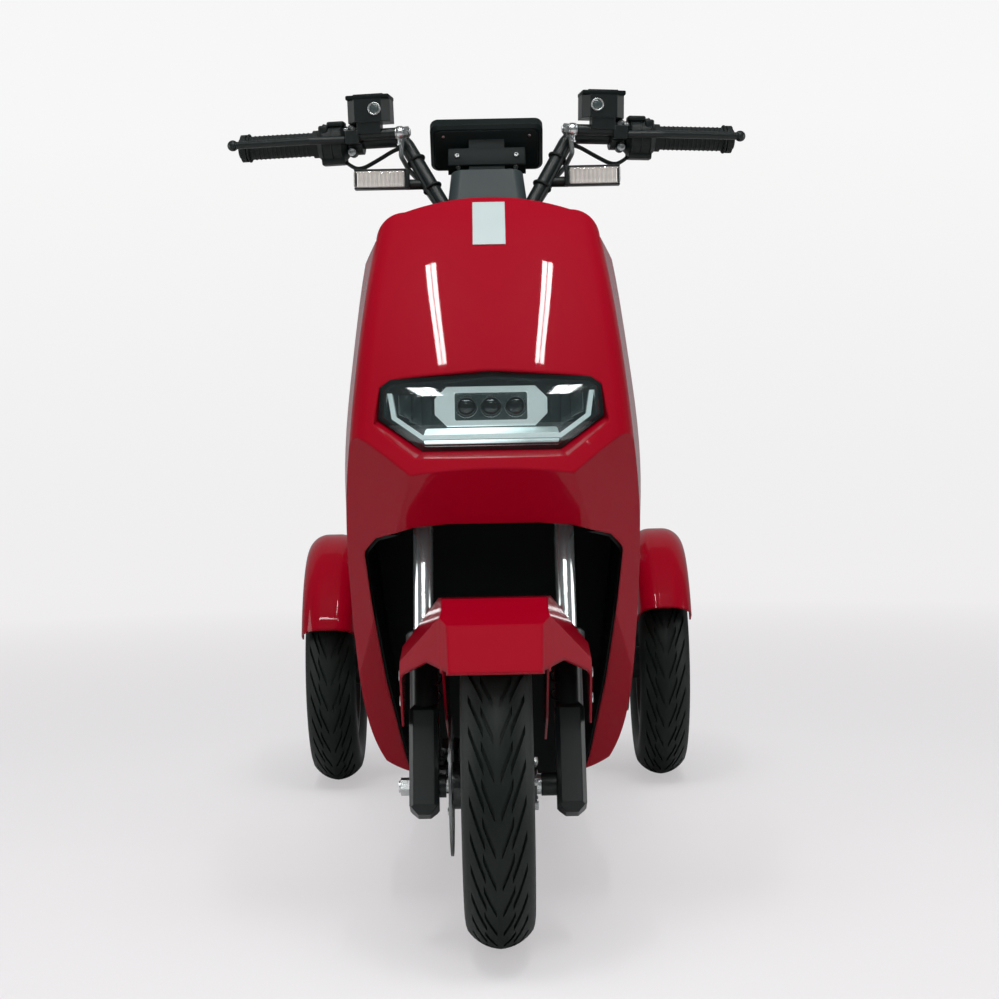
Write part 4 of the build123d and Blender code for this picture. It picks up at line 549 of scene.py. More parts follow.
def dome(bm, where, radius, height):
    """A round lens: half a sphere, flattened."""
    squash = where @ Matrix.Diagonal((1, 1, height / radius, 1))
    made = bmesh.ops.create_uvsphere(bm, u_segments=28, v_segments=14, radius=radius, matrix=squash)
    cut = bmesh.ops.bisect_plane(
        bm, geom=carried(made["verts"]), dist=1e-7, plane_co=where.translation,
        plane_no=up_of(where), clear_inner=True,
    )["geom_cut"]
    bmesh.ops.contextual_create(bm, geom=[e for e in cut if isinstance(e, bmesh.types.BMEdge)])


def outline_slab(bm, where, points, thick, rim=0.0):
    """A flat plate cut to a list of corners, with its thickness along the place's Z."""
    verts = [bm.verts.new(where @ Vector((x, y, 0))) for x, y in points]
    face = bmesh.ops.contextual_create(bm, geom=verts)["faces"][0]
    raised = bmesh.ops.extrude_face_region(bm, geom=[face])["geom"]
    top = verts_of(raised)
    bmesh.ops.translate(bm, vec=up_of(where) * thick, verts=top)
    if rim:
        rounded(bm, {e for v in top for e in v.link_edges if e.other_vert(v) in top}, rim)


def skin_of(*names):
    """The surface of some CAD nodes, for finding where a small part sits on it."""
    bm = bmesh.new()
    for name in names:
        bm.from_mesh(nodes[name].data)
    tree = BVHTree.FromBMesh(bm)
    bm.free()
    return tree


def seated(skin, start, towards):
    """A place on a skin where a ray from start meets it, its Z pointing out of the surface."""
    hit, normal, _, _ = skin.ray_cast(Vector(start), Vector(towards).normalized())
    return standing(hit, -normal if normal.dot(Vector(towards)) > 0 else normal)


print("shapes are ready")

# %% [markdown]
# ## Tyres with a real tread
# The tread is a row of slanting grooves each side of a plain rib, and they point down where the
# tyre meets the road. It is made flat, as a mould maker would draw it: one pitch of the pattern
# is a grid, grooves are pushed into it, and the grid is sheared so that the grooves slant. Then
# every pitch is wrapped round the tyre's own cross-section, so a few numbers set every groove.


# %% One pitch of tread
tyre_radius = 0.208
tread_pitches = 28
tread_slant = 2.6  # how far a groove runs round the tyre for each step across it
slant_end = 0.045  # the slant stops this far down the section
# points of the tyre's section: how far from its middle, and the radius there
shoulder = (0.0231, 0.2013)
crown_edge = (0.042, 0.184)
wall = (0.045, 0.165)
bead = (0.0287, 0.1343)


def arc_through(a, b, c, steps):
    """Points on the circle through three points, from a to c."""
    (ax, ay), (bx, by), (cx, cy) = a, b, c
    d = 2 * (ax * (by - cy) + bx * (cy - ay) + cx * (ay - by))
    aa, bb, cc = ax * ax + ay * ay, bx * bx + by * by, cx * cx + cy * cy
    ox = (aa * (by - cy) + bb * (cy - ay) + cc * (ay - by)) / d
    oy = (aa * (cx - bx) + bb * (ax - cx) + cc * (bx - ax)) / d
    radius = math.hypot(ax - ox, ay - oy)
    start = math.atan2(ay - oy, ax - ox)
    end = math.atan2(cy - oy, cx - ox)
    mid = math.atan2(by - oy, bx - ox)
    turn = (end - start) % math.tau
    if (mid - start) % math.tau > turn:
        turn -= math.tau
    return [
        (ox + radius * math.cos(start + turn * i / steps), oy + radius * math.sin(start + turn * i / steps))
        for i in range(steps + 1)
    ]


half_profile = arc_through((0, tyre_radius), shoulder, crown_edge, 8)
half_profile += arc_through(crown_edge, wall, bead, 8)[1:]
# reach is how far along the section each of its points is from the middle
reach = [0.0]
for (x0, r0), (x1, r1) in zip(half_profile, half_profile[1:]):
    reach.append(reach[-1] + math.hypot(x1 - x0, r1 - r0))


def on_profile(s):
    """The point of the tyre's section at distance s from its middle, and the way out there."""
    side = 1 if s >= 0 else -1
    s = min(abs(s), reach[-1] - 1e-9)
    i = next(k for k in range(len(reach) - 1) if reach[k + 1] > s)
    t = (s - reach[i]) / (reach[i + 1] - reach[i])
    (x0, r0), (x1, r1) = half_profile[i], half_profile[i + 1]
    along = Vector((x1 - x0, r1 - r0)).normalized()
    return side * (x0 + (x1 - x0) * t), r0 + (r1 - r0) * t, side * -along.y, along.x


groove_depth = 0.0035
pitch_length = math.tau * tyre_radius / tread_pitches
# each groove: nearest and farthest place across, and its start and end along the pitch
grooves = [(0.004, 0.020, 0.10, 0.36), (0.017, 0.039, 0.58, 0.86)]


def slice_at(bm, point, across):
    """Cuts every face that a plane crosses, and keeps both halves."""
    everything = bm.verts[:] + bm.edges[:] + bm.faces[:]
    bmesh.ops.bisect_plane(bm, geom=everything, dist=1e-6, plane_co=point, plane_no=across)


def flat_pitch():
    """One pitch of tread laid flat: X across, Y along, grooves pushed down in Z."""
    bm = bmesh.new()
    bmesh.ops.create_grid(bm, x_segments=2, y_segments=4, size=0.5)
    bmesh.ops.scale(bm, vec=(reach[-1] * 2, pitch_length, 1), verts=bm.verts)
    cuts = reach[1:-1]
    for low, high, _, _ in grooves:
        cuts += [low, high]
    for cut in cuts:
        for side in (-1, 1):
            slice_at(bm, (side * cut, 0, 0), (1, 0, 0))
    for _, _, start, end in grooves:
        for share in (start, end):
            slice_at(bm, (0, (share - 0.5) * pitch_length, 0), (0, 1, 0))
    floors = []
    for face in bm.faces:
        centre = face.calc_center_median()
        share = centre.y / pitch_length + 0.5
        for low, high, start, end in grooves:
            if low < abs(centre.x) < high and start < share < end:
                floors.append(face)
    sunk = bmesh.ops.extrude_face_region(bm, geom=floors)["geom"]
    bmesh.ops.translate(bm, vec=(0, 0, -groove_depth), verts=verts_of(sunk))
    bmesh.ops.delete(bm, geom=floors, context="FACES_ONLY")
    return bm


def tyre(name, axle, body, node):
    """A whole tyre: the flat pitch repeated, sheared and wrapped round the wheel."""
    bm = flat_pitch()
    pitch = bm.verts[:] + bm.edges[:] + bm.faces[:]
    for count in range(1, tread_pitches):
        copy = bmesh.ops.duplicate(bm, geom=pitch)["geom"]
        bmesh.ops.translate(bm, vec=(0, count * pitch_length, 0), verts=verts_of(copy))
    for vert in bm.verts:
        x, r, nx, nr = on_profile(vert.co.x)
        along = vert.co.y + tread_slant * min(abs(vert.co.x), slant_end)
        x += nx * vert.co.z
        r += nr * vert.co.z
        angle = along / tyre_radius
        vert.co = axle + Vector((x, -r * math.cos(angle), r * math.sin(angle)))
    made = piece(name, bm, tyre_rubber, body, smooth=30)
    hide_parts(node)


tyre("front_tread", front_axle, "front_wheel", "front_tyre")
for side in ("right", "left"):
    tyre(f"rear_tread_{side}", rear_axles[side], f"rear_wheel_{side}", f"rear_tyre_{side}")
print("tyres:", tread_pitches, "pitches each")

# %% [markdown]
# ## Places along the handlebar
# The bar's outer ends run straight and sweep back, so everything on them sits in one moving
# frame: forward, up, and outward along the bar. With the frame in a function, a fitting is
# written once and appears on both sides.

# %% The bar's own frame
bar_knee = Vector((0.122, -0.2659, 1.088))
bar_end = Vector((0.355, -0.2384, 1.082))
# how far from the middle of the scooter each thing sits on the bar
brake_half = 0.190
switch_half = 0.224
grip_half = 0.246


def on_bar(side, half, forward=0.0, up=0.0, out=0.0):
    """A place by the bar: local X forward, Y up and Z outward along it."""
    along = (bar_end - bar_knee).normalized()
    middle = bar_knee + along * (half - bar_knee.x)
    middle.x *= side
    along.x *= side
    ahead = Vector((0, -1, 0))
    ahead = (ahead - along * ahead.dot(along)).normalized()
    upward = along.cross(ahead) * side
    if upward.z < 0:
        upward.negate()
    turned = Matrix((ahead, upward, along)).transposed().to_4x4()
    turned.translation = middle + ahead * forward + upward * up + along * out
    return turned


def both_sides(name, finish, add, body="steering"):
    """One piece with the same fittings on the right and on the left."""
    bm = bmesh.new()
    for side in (-1, 1):
        add(bm, side)
    return piece(name, bm, finish, body)


# %% [markdown]
# ## Brake reservoirs
# Each reservoir is a cast box with a screwed lid and a round sight glass in its front, where the
# rider checks the fluid. The lid is a block that stands a little proud all round, and the glass is
# a low dome inside a bright ring.

# %% Reservoir lids, screws and sight glasses
tank_forward, tank_up, tank_out = 0.022, 0.042, -0.025
tank_deep = 0.046
glass_from_tank = (tank_deep / 2, -0.001, -0.010)


def on_tank(side, forward=0.0, up=0.0, out=0.0):
    """A place by a reservoir's middle, in the bar's frame."""
    return on_bar(side, brake_half, tank_forward + forward, tank_up + up, tank_out + out)


def lids(bm, side):
    block(bm, on_tank(side, up=0.0165), (0.0475, 0.0065, 0.0635), 0.0018)
    block(bm, on_tank(side, up=0.0205), (0.030, 0.003, 0.044), 0.001)


def lid_screws(bm, side):
    for end in (-0.0255, 0.0255):
        place = on_tank(side, up=0.0195, out=end) @ ALONG_Y
        drum(bm, place, 0.0032, 0.0018, 0.0005, sides=16, socket=0.5)


def sight_rings(bm, side):
    place = on_tank(side, *glass_from_tank) @ ALONG_X
    hoop(bm, place @ at(0, 0, 0.0008), 0.0082, 0.0013)


def sight_glasses(bm, side):
    place = on_tank(side, *glass_from_tank) @ ALONG_X
    dome(bm, place, 0.0078, 0.0022)


both_sides("reservoir_lids", display_black, lids)
both_sides("lid_screws", zinc, lid_screws)
both_sides("sight_rings", silver, sight_rings)
both_sides("sight_glasses", window_grey, sight_glasses)

# %% [markdown]
# ## Hose fittings and clamp bolts
# The steel hose leaves the cylinder through a banjo: a ring on a hollow bolt, with a washer each
# side and a crimped sleeve below it. These are bright plated, and so are the two bolts that
# clamp each brake to the bar.

# %% Banjos and bolts
clamp_ups = (-0.0165, 0.0170)
clamp_out = 0.0045


def banjos(bm, side):
    start = on_bar(side, brake_half, 0.030, 0.006, -0.0625)
    inward = start @ TURNED_OVER
    drum(bm, inward, 0.0086, 0.0015, 0.0004)
    drum(bm, inward @ at(0, 0, 0.0017), 0.0098, 0.0090, 0.0016)
    drum(bm, inward @ at(0, 0, 0.0109), 0.0086, 0.0014, 0.0004)
    drum(bm, inward @ at(0, 0, 0.0125), 0.0088, 0.0070, 0.0010, sides=6)
    drum(bm, inward @ at(0, 0, 0.0195), 0.0050, 0.0022, 0.0008)
    below = start @ at(0, 0, -0.0062) @ FORWARD
    drum(bm, below @ at(0, 0, 0.0085), 0.0042, 0.0090, 0.0006, sides=18)
    drum(bm, below @ at(0, 0, 0.0150), 0.0052, 0.0030, 0.0006, sides=18)


def clamp_lugs(bm, side):
    for up in clamp_ups:
        place = on_bar(side, brake_half, 0.004, up, clamp_out) @ ALONG_X
        drum(bm, place, 0.0072, 0.0170, 0.0014, top=0.0064)


def clamp_bolts(bm, side):
    for up in clamp_ups:
        place = on_bar(side, brake_half, 0.021, up, clamp_out) @ ALONG_X
        drum(bm, place, 0.0058, 0.0012, 0.0003)
        drum(bm, place @ at(0, 0, 0.0012), 0.0048, 0.0052, 0.0008, sides=20, socket=0.55)
    pivot = on_bar(side, brake_half, 0.0355, 0.0120, 0.0085) @ ALONG_Y
    drum(bm, pivot, 0.0052, 0.0042, 0.0008, sides=6)


both_sides("banjo_fittings", zinc, banjos)
both_sides("clamp_lugs", black_coat, clamp_lugs)
both_sides("clamp_bolts", zinc, clamp_bolts)

# %% [markdown]
# ## Switches and their wires
# The housings carry a thumb switch each side. Raised ribs run round each housing, two wires loop
# down out of it and go up again to the riser, and two rubber bands hold them there. The riser
# leans back as the fork does, by 23 degrees, and outwards too.

# %% Switch buttons, ribs and wires
rake = math.radians(23)
riser_run = Vector((0.084, 0.0624, 0.148))  # from a riser's foot up to the bar's knee
wire_gap = 0.0062
wire_exit_half = 0.208
wire_points = (
    (0.203, -0.262, 1.0535), (0.186, -0.268, 1.0440), (0.160, -0.273, 1.0570), (0.130, -0.276, 1.0745),
    (0.118, -0.283, 1.0720), (0.109, -0.291, 1.0500), (0.092, -0.303, 1.0180), (0.073, -0.318, 0.985),
    (0.060, -0.329, 0.960),
)


def switch_ribs(bm, side):
    for out in (-0.014, 0.0, 0.014):
        hoop(bm, on_bar(side, switch_half, 0, 0, out), 0.0278, 0.0011, 40)
    block(bm, on_bar(side, switch_half, 0.010, 0.0255, -0.006), (0.022, 0.008, 0.026), 0.0028, 3)
    block(bm, on_bar(side, switch_half, 0.018, 0.016, 0.012), (0.014, 0.016, 0.014), 0.003, 3)


def switch_buttons(bm, side):
    sizes = {0.011: (0.008, 0.007, 0.016), -0.001: (0.009, 0.009, 0.010), -0.013: (0.007, 0.007, 0.014)}
    for up, size in sizes.items():
        block(bm, on_bar(side, switch_half, -0.0265, up, -0.002), size, 0.0016, 3)


def wire_route(side, shift):
    start = on_bar(side, wire_exit_half, -0.006 + shift, -0.028, 0).translation
    return [start] + [Vector((side * x, y + shift, z)) for x, y, z in wire_points]


def riser_bands(bm, side):
    for z in (1.0545, 1.0130):
        drop = z - bar_knee.z
        x = bar_knee.x + drop * riser_run.x / riser_run.z
        along = Vector((side * riser_run.x, riser_run.y, riser_run.z))
        place = standing((side * x, bar_knee.y + drop * math.tan(rake), z), along)
        hoop(bm, place, 0.0125, 0.0022)


both_sides("switch_ribs", black_plastic, switch_ribs)
both_sides("switch_buttons", dark_cover, switch_buttons)
wires = [wire_route(side, shift) for side in (-1, 1) for shift in (0.0, wire_gap)]
cables("switch_wires", wires, 0.0027, rubber, "steering")
both_sides("riser_bands", rubber, riser_bands)

# %% [markdown]
# ## Grips
# A rubber grip is a sleeve with fine rings for the fingers and a thicker collar at its end. The
# rings are shallow, so they are spun wires that stand a millimetre out of the CAD sleeve.

# %% Grip rings and end plugs
grip_ring_count = 14
grip_ring_pitch = 0.0066


def grip_rings(bm, side):
    for step in range(grip_ring_count):
        hoop(bm, on_bar(side, grip_half, out=0.016 + step * grip_ring_pitch), 0.0166, 0.0012, 28)
    hoop(bm, on_bar(side, grip_half, out=0.1045), 0.0192, 0.0018, 32)


def bar_ends(bm, side):
    drum(bm, on_bar(side, grip_half, out=0.1162), 0.0145, 0.0035, 0.0015)


both_sides("grip_rings", rubber, grip_rings)
both_sides("bar_end_plugs", black_coat, bar_ends)

# %% [markdown]
# ## Display
# The display is a flat box that leans back towards the rider. Its back, which the photograph
# shows, has a raised shell with a step along its edge, and four small screws. The rider's side
# has a sunken dark glass with a rim round it. The bracket under it has a thin plate in front,
# held by two screws.

# %% Display shell, glass, plate and screws
display_lean = math.radians(40)
backward, upward = math.cos(display_lean), math.sin(display_lean)
display_at = Matrix(((-1, 0, 0), (0, -upward, backward), (0, backward, upward))).to_4x4()
display_at.translation = (0, -0.26455, 1.077)


def rounded_corners(width, height, corner, steps=6):
    """The corners of a rectangle with round corners."""
    points = []
    for quarter, (sx, sy) in enumerate(((1, 1), (-1, 1), (-1, -1), (1, -1))):
        for step in range(steps + 1):
            angle = math.radians(90 * (quarter + step / steps))
            x = sx * (width / 2 - corner) + corner * math.cos(angle)
            points.append((x, sy * (height / 2 - corner) + corner * math.sin(angle)))
    return points


def flat_plate(name, where, size, corner, thick, rim, finish, body="steering"):
    """A thin plate with round corners, as a piece of its own."""
    bm = bmesh.new()
    outline_slab(bm, where, rounded_corners(*size, corner), thick, rim)
    piece(name, bm, finish, body)


shell_at = display_at @ at(0, 0.0005, -0.0085)
flat_plate("display_shell", shell_at, (0.150, 0.064), 0.009, -0.0028, 0.0011, display_black)
rim_at = display_at @ at(0, 0, 0.0098)
flat_plate("display_rim", rim_at, (0.158, 0.073), 0.011, 0.0022, 0.0009, black_plastic)
glass_at = display_at @ at(0, 0.001, 0.0112)
flat_plate("display_glass", glass_at, (0.144, 0.058), 0.006, 0.0013, 0.0004, screen)
screws = bmesh.new()
for side in (-1, 1):
    upper = display_at @ at(side * 0.0625, 0.0235, -0.0110) @ TURNED_OVER
    drum(screws, upper, 0.0022, 0.0012, 0.0004, sides=16)
    lower = display_at @ at(side * 0.042, -0.0265, -0.0160) @ TURNED_OVER
    drum(screws, lower, 0.0036, 0.0024, 0.0008, sides=20, socket=0.5)
piece("display_screws", screws, zinc, "steering")

plate_at = seated(skin_of("display_bracket"), (0, -1.2, 1.0565), (0, 1, 0))
bracket_plate, bracket_screws = bmesh.new(), bmesh.new()
block(bracket_plate, plate_at @ at(0, 0, 0.0016), (0.112, 0.028, 0.0030), 0.0012)
for x in (-0.043, 0.043):
    place = plate_at @ at(x, 0.001, 0.0029)
    drum(bracket_screws, place, 0.0036, 0.0024, 0.0008, sides=20, socket=0.5)
piece("display_plate", bracket_plate, display_black, "steering")
piece("plate_screws", bracket_screws, steel, "steering")

# %% [markdown]
# ## Front indicators
# Each indicator is a slim black housing with a clear lens wrapped round its front and outer end.
# Through the lens one sees a bright reflector with upright flutes. The CAD node is one solid, so
# three pieces stand for it: the housing with its stalk, the fluted mirror and the lens.

# %% Indicator housings, reflectors and lenses
signal_from, signal_length, signal_high, signal_deep = 0.112, 0.080, 0.029, 0.026
signal_y, signal_z = -0.3062, 1.026


def signal_housings(bm, side):
    middle = signal_from + signal_length / 2
    back = signal_y + signal_deep / 2
    long, deep = signal_length - 0.001, signal_deep - 0.003
    block(bm, at(side * middle, back - 0.0050, signal_z), (signal_length, 0.0100, signal_high), 0.0022, 3)
    block(bm, at(side * middle, signal_y, signal_z + 0.0130), (long, deep, 0.0026), 0.0009)
    block(bm, at(side * middle, signal_y, signal_z - 0.0134), (long, deep, 0.0020), 0.0008)
    inner_end = at(side * (signal_from + 0.003), signal_y, signal_z)
    block(bm, inner_end, (0.006, signal_deep - 0.002, signal_high - 0.001), 0.0016)
    stalk_z = signal_z - 0.0073
    inner = Vector((side * 0.0870, -0.2950, stalk_z))
    outer = Vector((side * 0.1180, -0.3000, stalk_z))
    drum(bm, standing(inner, outer - inner), 0.0070, (outer - inner).length, 0.001, top=0.0078)


def signal_mirrors(bm, side):
    flutes = 11
    pitch = (signal_length - 0.012) / flutes
    for step in range(flutes):
        x = signal_from + 0.008 + pitch * (step + 0.5)
        drum(bm, at(side * x, signal_y + 0.0030, signal_z - 0.0110), pitch * 0.56, 0.0215, 0, sides=14)
    for up, thick in ((-0.0108, 0.0012), (0.0106, 0.0010)):
        place = at(side * (signal_from + 0.0425), signal_y - 0.0035, signal_z + up)
        block(bm, place, (0.068, 0.011, thick), 0.0004)


def signal_lenses(bm, side):
    long = signal_length - 0.007
    middle = signal_from + 0.007 + long / 2
    front = signal_y - signal_deep / 2
    block(bm, at(side * middle, front + 0.0080, signal_z), (long, 0.0160, 0.0232), 0.0024, 3)


housings = both_sides("signal_housings", black_coat, signal_housings)
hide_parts("turn_signals")
both_sides("signal_mirrors", peach_mirror, signal_mirrors)
both_sides("signal_lenses", signal_cover, signal_lenses)

# %% [markdown]
# ## Inside the headlamp
# Behind the cover there is a bright six-sided frame with a grey window, and three round lenses
# stand in it. They are placed in the lamp's own plane, which leans back four degrees.

# %% The lamp's plane, window and lenses
lamp_lean = math.radians(4)
lamp_at = Matrix.Rotation(math.radians(90) - lamp_lean, 4, "X")
lamp_at.translation = (0, -0.588, 0.690)
bowl_floor = -0.0447
module_up = 0.009
window_floor = bowl_floor + 0.0135
window_at = lamp_at @ at(0, module_up, window_floor)
window_size = (0.0970, 0.0370)
flat_plate(
    "lamp_window", window_at, window_size, 0.003, 0.0012, 0.0004, window_grey, "chassis"
)
lenses, rings = bmesh.new(), bmesh.new()
for x in (-0.033, 0.0, 0.033):
    place = window_at @ at(x, 0, 0.0062)
    dome(lenses, place, 0.0138, 0.0062)
    hoop(rings, place @ at(0, 0, 0.0006), 0.0144, 0.0007, 36)
piece("lamp_lenses", lenses, lens_glass, "chassis")
piece("lamp_lens_rings", rings, window_grey, "chassis")

# %% [markdown]
# ### The bowl's fins and mirrors
# Round the frame the bowl is glossy black with slanting fins, three each side. Below it a bright
# apron faces up at the cover, and a lip closes it in front; both glow with a painted reflection. Both
# are sheets that run through a few rows of points, so each row is drawn once and bridged to the next.

# %% Fins, apron and lip
fins = bmesh.new()
for side in (-1, 1):
    for step in range(3):
        inner = 0.080 + step * 0.013
        outer = 0.097 + step * 0.013
        low = -0.026 + step * 0.009
        high = 0.028 - step * 0.001
        corners = [(inner, low), (outer, low + 0.008), (outer, high), (inner, high)]
        corners = [(side * x, y) for x, y in corners]
        outline_slab(fins, lamp_at @ at(0, 0, bowl_floor), corners, 0.007 + step * 0.006, 0.0012)
piece("lamp_fins", fins, gloss_black, "chassis")


def apron(name, rows):
    """A sheet across the lamp, bright with a painted reflection, from one row (half width, up, out) to the
    next.
    """
    bm = bmesh.new()
    last = None
    for half, up, out in rows:
        row = [bm.verts.new(lamp_at @ Vector((share * half, up, out))) for share in (-1, -0.5, 0, 0.5, 1)]
        edges = [bm.edges.new(pair) for pair in zip(row, row[1:])]
        if last:
            bmesh.ops.bridge_loops(bm, edges=last + edges)
        last = edges
    bmesh.ops.recalc_face_normals(bm, faces=bm.faces)
    bmesh.ops.solidify(bm, geom=bm.faces[:], thickness=0.0008)
    piece(name, bm, reflector, "chassis")


apron("lamp_apron", [
    (0.086, -0.0190, -0.038), (0.088, -0.0215, -0.027), (0.089, -0.0255, -0.018), (0.0895, -0.0280, -0.0135),
])
apron("lamp_lip", [
    (0.090, -0.0362, -0.0125), (0.089, -0.0400, -0.0085), (0.0885, -0.044, -0.006), (0.088, -0.0462, -0.005),
])

# %% [markdown]
# ## The lamp's seal
# A thin black seal fills the gap between the cover and the red nose. It follows the same corners
# as the cover, so its outline is written once and extruded as a narrow band.

# %% Lamp seal
seal_width = 0.0062
seal_right = [(0.091, -0.051), (0.149, -0.008), (0.146, 0.034), (0.133, 0.044)]
seal_corners = seal_right + [(0, 0.053)] + [(-x, y) for x, y in reversed(seal_right)]
seal = bmesh.new()
outline_slab(seal, lamp_at @ at(0, 0, 0.0004), seal_corners, 0.0016)
for face in caps_of(seal.faces):
    bmesh.ops.inset_individual(seal, faces=[face], thickness=seal_width)
middles = caps_of(seal.faces)
bmesh.ops.bridge_loops(seal, edges=list({e for f in middles for e in f.edges}))
bmesh.ops.delete(seal, geom=[f for f in middles if f.is_valid], context="FACES_ONLY")
piece("lamp_seal", seal, rubber, "chassis")

# %% [markdown]
# ## The bare plate on the nose
# A pale sticker is draped over the top of the nose. It is left blank. It is a grid of points, each
# dropped on the panel by a ray from the front, so it bends exactly as the panel does.

# %% Nose plate
label_middle = Vector((0.0015, 0.9500))
label_width, label_height = 0.045, 0.063
shield_skin = skin_of("front_shield")
label = bmesh.new()
bmesh.ops.create_grid(label, x_segments=8, y_segments=14, size=0.5)
for vert in label.verts:
    x = label_middle.x + vert.co.x * label_width
    z = label_middle.y + vert.co.y * label_height
    hit, normal, _, _ = shield_skin.ray_cast(Vector((x, -1.2, z)), Vector((0, 1, 0)))
    vert.co = hit + (normal if normal.y < 0 else -normal) * 0.0004
bmesh.ops.recalc_face_normals(label, faces=label.faces)
bmesh.ops.solidify(label, geom=label.faces[:], thickness=-0.0005)
piece("nose_plate", label, plate_vinyl, "chassis")

# %% [markdown]
# ## Fork, mudguard and front brake
# Where the fork's castings, the mudguard and the caliper are bolted together, small screws and
# ribs show the scale. Each screw finds its own seat: a ray from the side meets the CAD surface
# and gives both the place and the direction out of it. The rings on the legs stand square to the
# fork, so they lean back with it.

# %% Mudguard screws, leg rings and caliper ribs
guard_skin = skin_of("front_mudguard")
fork_screws = bmesh.new()
for side in (-1, 1):
    for y, z in ((-0.660, 0.318), (-0.668, 0.352)):
        place = seated(guard_skin, (side * 0.3, y, z), (-side, 0, 0))
        drum(fork_screws, place, 0.0070, 0.0034, 0.0012, sides=22, socket=0.45)
piece("fork_screws", fork_screws, zinc, "steering")

leg_half, leg_foot_y, leg_foot_z = 0.090, -0.672, 0.208
leg_ribs = bmesh.new()
for side in (-1, 1):
    for z in (0.372, 0.340, 0.318):
        y = leg_foot_y + (z - leg_foot_z) * math.tan(rake)
        place = at(side * leg_half, y, z) @ Matrix.Rotation(rake, 4, "X")
        hoop(leg_ribs, place, 0.0186, 0.0012, 36)
piece("leg_ribs", leg_ribs, black_coat, "steering")

caliper_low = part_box("front_caliper")[0]
caliper_ribs = bmesh.new()
for step in range(4):
    place = at(-0.078, caliper_low.y + 0.008, caliper_low.z + 0.012 + step * 0.013)
    block(caliper_ribs, place, (0.022, 0.018, 0.0045), 0.0012)
piece("caliper_ribs", caliper_ribs, black_coat, "steering")

# %% [markdown]
# ## Wheels
# Each rim gets a valve and a ring of hub bolts, and each disc its carrier bolts. They ride with
# the wheel that they belong to, so they turn with it.

# %% Valves and hub bolts
bolt_count = 5
carrier_x, carrier_radius = 0.0620, 0.036
hub_x, hub_radius = 0.0300, 0.030
valve_x, valve_radius = 0.020, 0.128


def spoke_at(axle, angle):
    """A place on the axle, turned round it."""
    return Matrix.Translation(axle) @ Matrix.Rotation(math.radians(angle), 4, "X")


def wheel_details(name, axle, body, disc_side):
    bolts = bmesh.new()
    for step in range(bolt_count):
        turn = spoke_at(axle, step * 360 / bolt_count)
        face = turn @ at(disc_side * carrier_x, 0, carrier_radius) @ outward(disc_side)
        drum(bolts, face, 0.0052, 0.0030, 0.0008, sides=18, socket=0.5)
        face = turn @ at(-disc_side * hub_x, 0, hub_radius) @ outward(-disc_side)
        drum(bolts, face, 0.0060, 0.0220, 0.0010, sides=6)
    piece(name + "_bolts", bolts, zinc, body)
    valve = bmesh.new()
    foot = spoke_at(axle, 25) @ at(-disc_side * valve_x, 0, valve_radius)
    lean = foot @ Matrix.Rotation(math.pi - disc_side * math.radians(38), 4, "Y")
    drum(valve, lean, 0.0042, 0.026, 0.0006, top=0.0036, sides=18)
    drum(valve, lean @ at(0, 0, 0.024), 0.0046, 0.009, 0.0009, sides=18)
    piece(name + "_valve", valve, rubber, body)


wheel_details("front_wheel", front_axle, "front_wheel", -1)
wheel_details("rear_wheel_right", rear_axles["right"], "rear_wheel_right", 1)
wheel_details("rear_wheel_left", rear_axles["left"], "rear_wheel_left", -1)

# %% [markdown]
# ## Rear springs
# A spring is a bar wound round a damper. The CAD draws its coils as rings, which is enough for
# weight and clearance but not for the eye, so here a small circle is spun eight turns while it
# climbs. The damper inside is a stack of turned pieces.

# %% Coil springs and dampers
spring_foot = Vector((0.184, 0.578, 0.290))
spring_head = Vector((0.184, 0.528, 0.590))
coil_radius, wire_radius = 0.0200, 0.0042
coil_turns, steps_a_turn = 8, 24


def spring_place(side):
    """The place at a spring's foot, its Z towards the head, and the length between them."""
    foot, head = (Vector((side * p.x, p.y, p.z)) for p in (spring_foot, spring_head))
    return standing(foot, head - foot), (head - foot).length


def coils(bm, side):
    place, length = spring_place(side)
    low, high = 0.045, length - 0.040
    start = place @ at(coil_radius, 0, low) @ FORWARD
    made = bmesh.ops.create_circle(bm, cap_ends=True, segments=10, radius=wire_radius, matrix=start)
    axis = up_of(place)
    steps = coil_turns * steps_a_turn
    bmesh.ops.spin(
        bm, geom=carried(made["verts"]), cent=place @ Vector((0, 0, low)), axis=axis,
        dvec=axis * (high - low) / steps, angle=math.tau * coil_turns, steps=steps, use_merge=False,
    )


def dampers(bm, side):
    place, length = spring_place(side)
    drum(bm, place @ at(0, 0, -0.012), 0.0120, 0.060, 0.003)
    drum(bm, place @ at(0, 0, 0.034), 0.0250, 0.008, 0.002)
    drum(bm, place @ at(0, 0, 0.040), 0.0140, 0.130, 0.002)
    drum(bm, place @ at(0, 0, length - 0.041), 0.0250, 0.008, 0.002)
    drum(bm, place @ at(0, 0, length - 0.035), 0.0120, 0.040, 0.003)
    eye_width = 0.027
    drum(bm, place @ at(-eye_width / 2, 0, length) @ ALONG_X, 0.0150, eye_width, 0.003)


def damper_rods(bm, side):
    place, length = spring_place(side)
    drum(bm, place @ at(0, 0, 0.165), 0.0060, length - 0.200, 0.0004)


shock_bodies = both_sides("shock_bodies", black_coat, dampers, "chassis")
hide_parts("rear_shocks")
both_sides("shock_springs", chrome, coils, "chassis")
both_sides("shock_rods", chrome, damper_rods, "chassis")

# %% [markdown]
# ## Motor, battery and tail
# The motor's case has cooling fins round it and a ring of cover bolts. A thick cable leaves it
# for the battery, which has a lid with screws on each side and a socket for the cable.

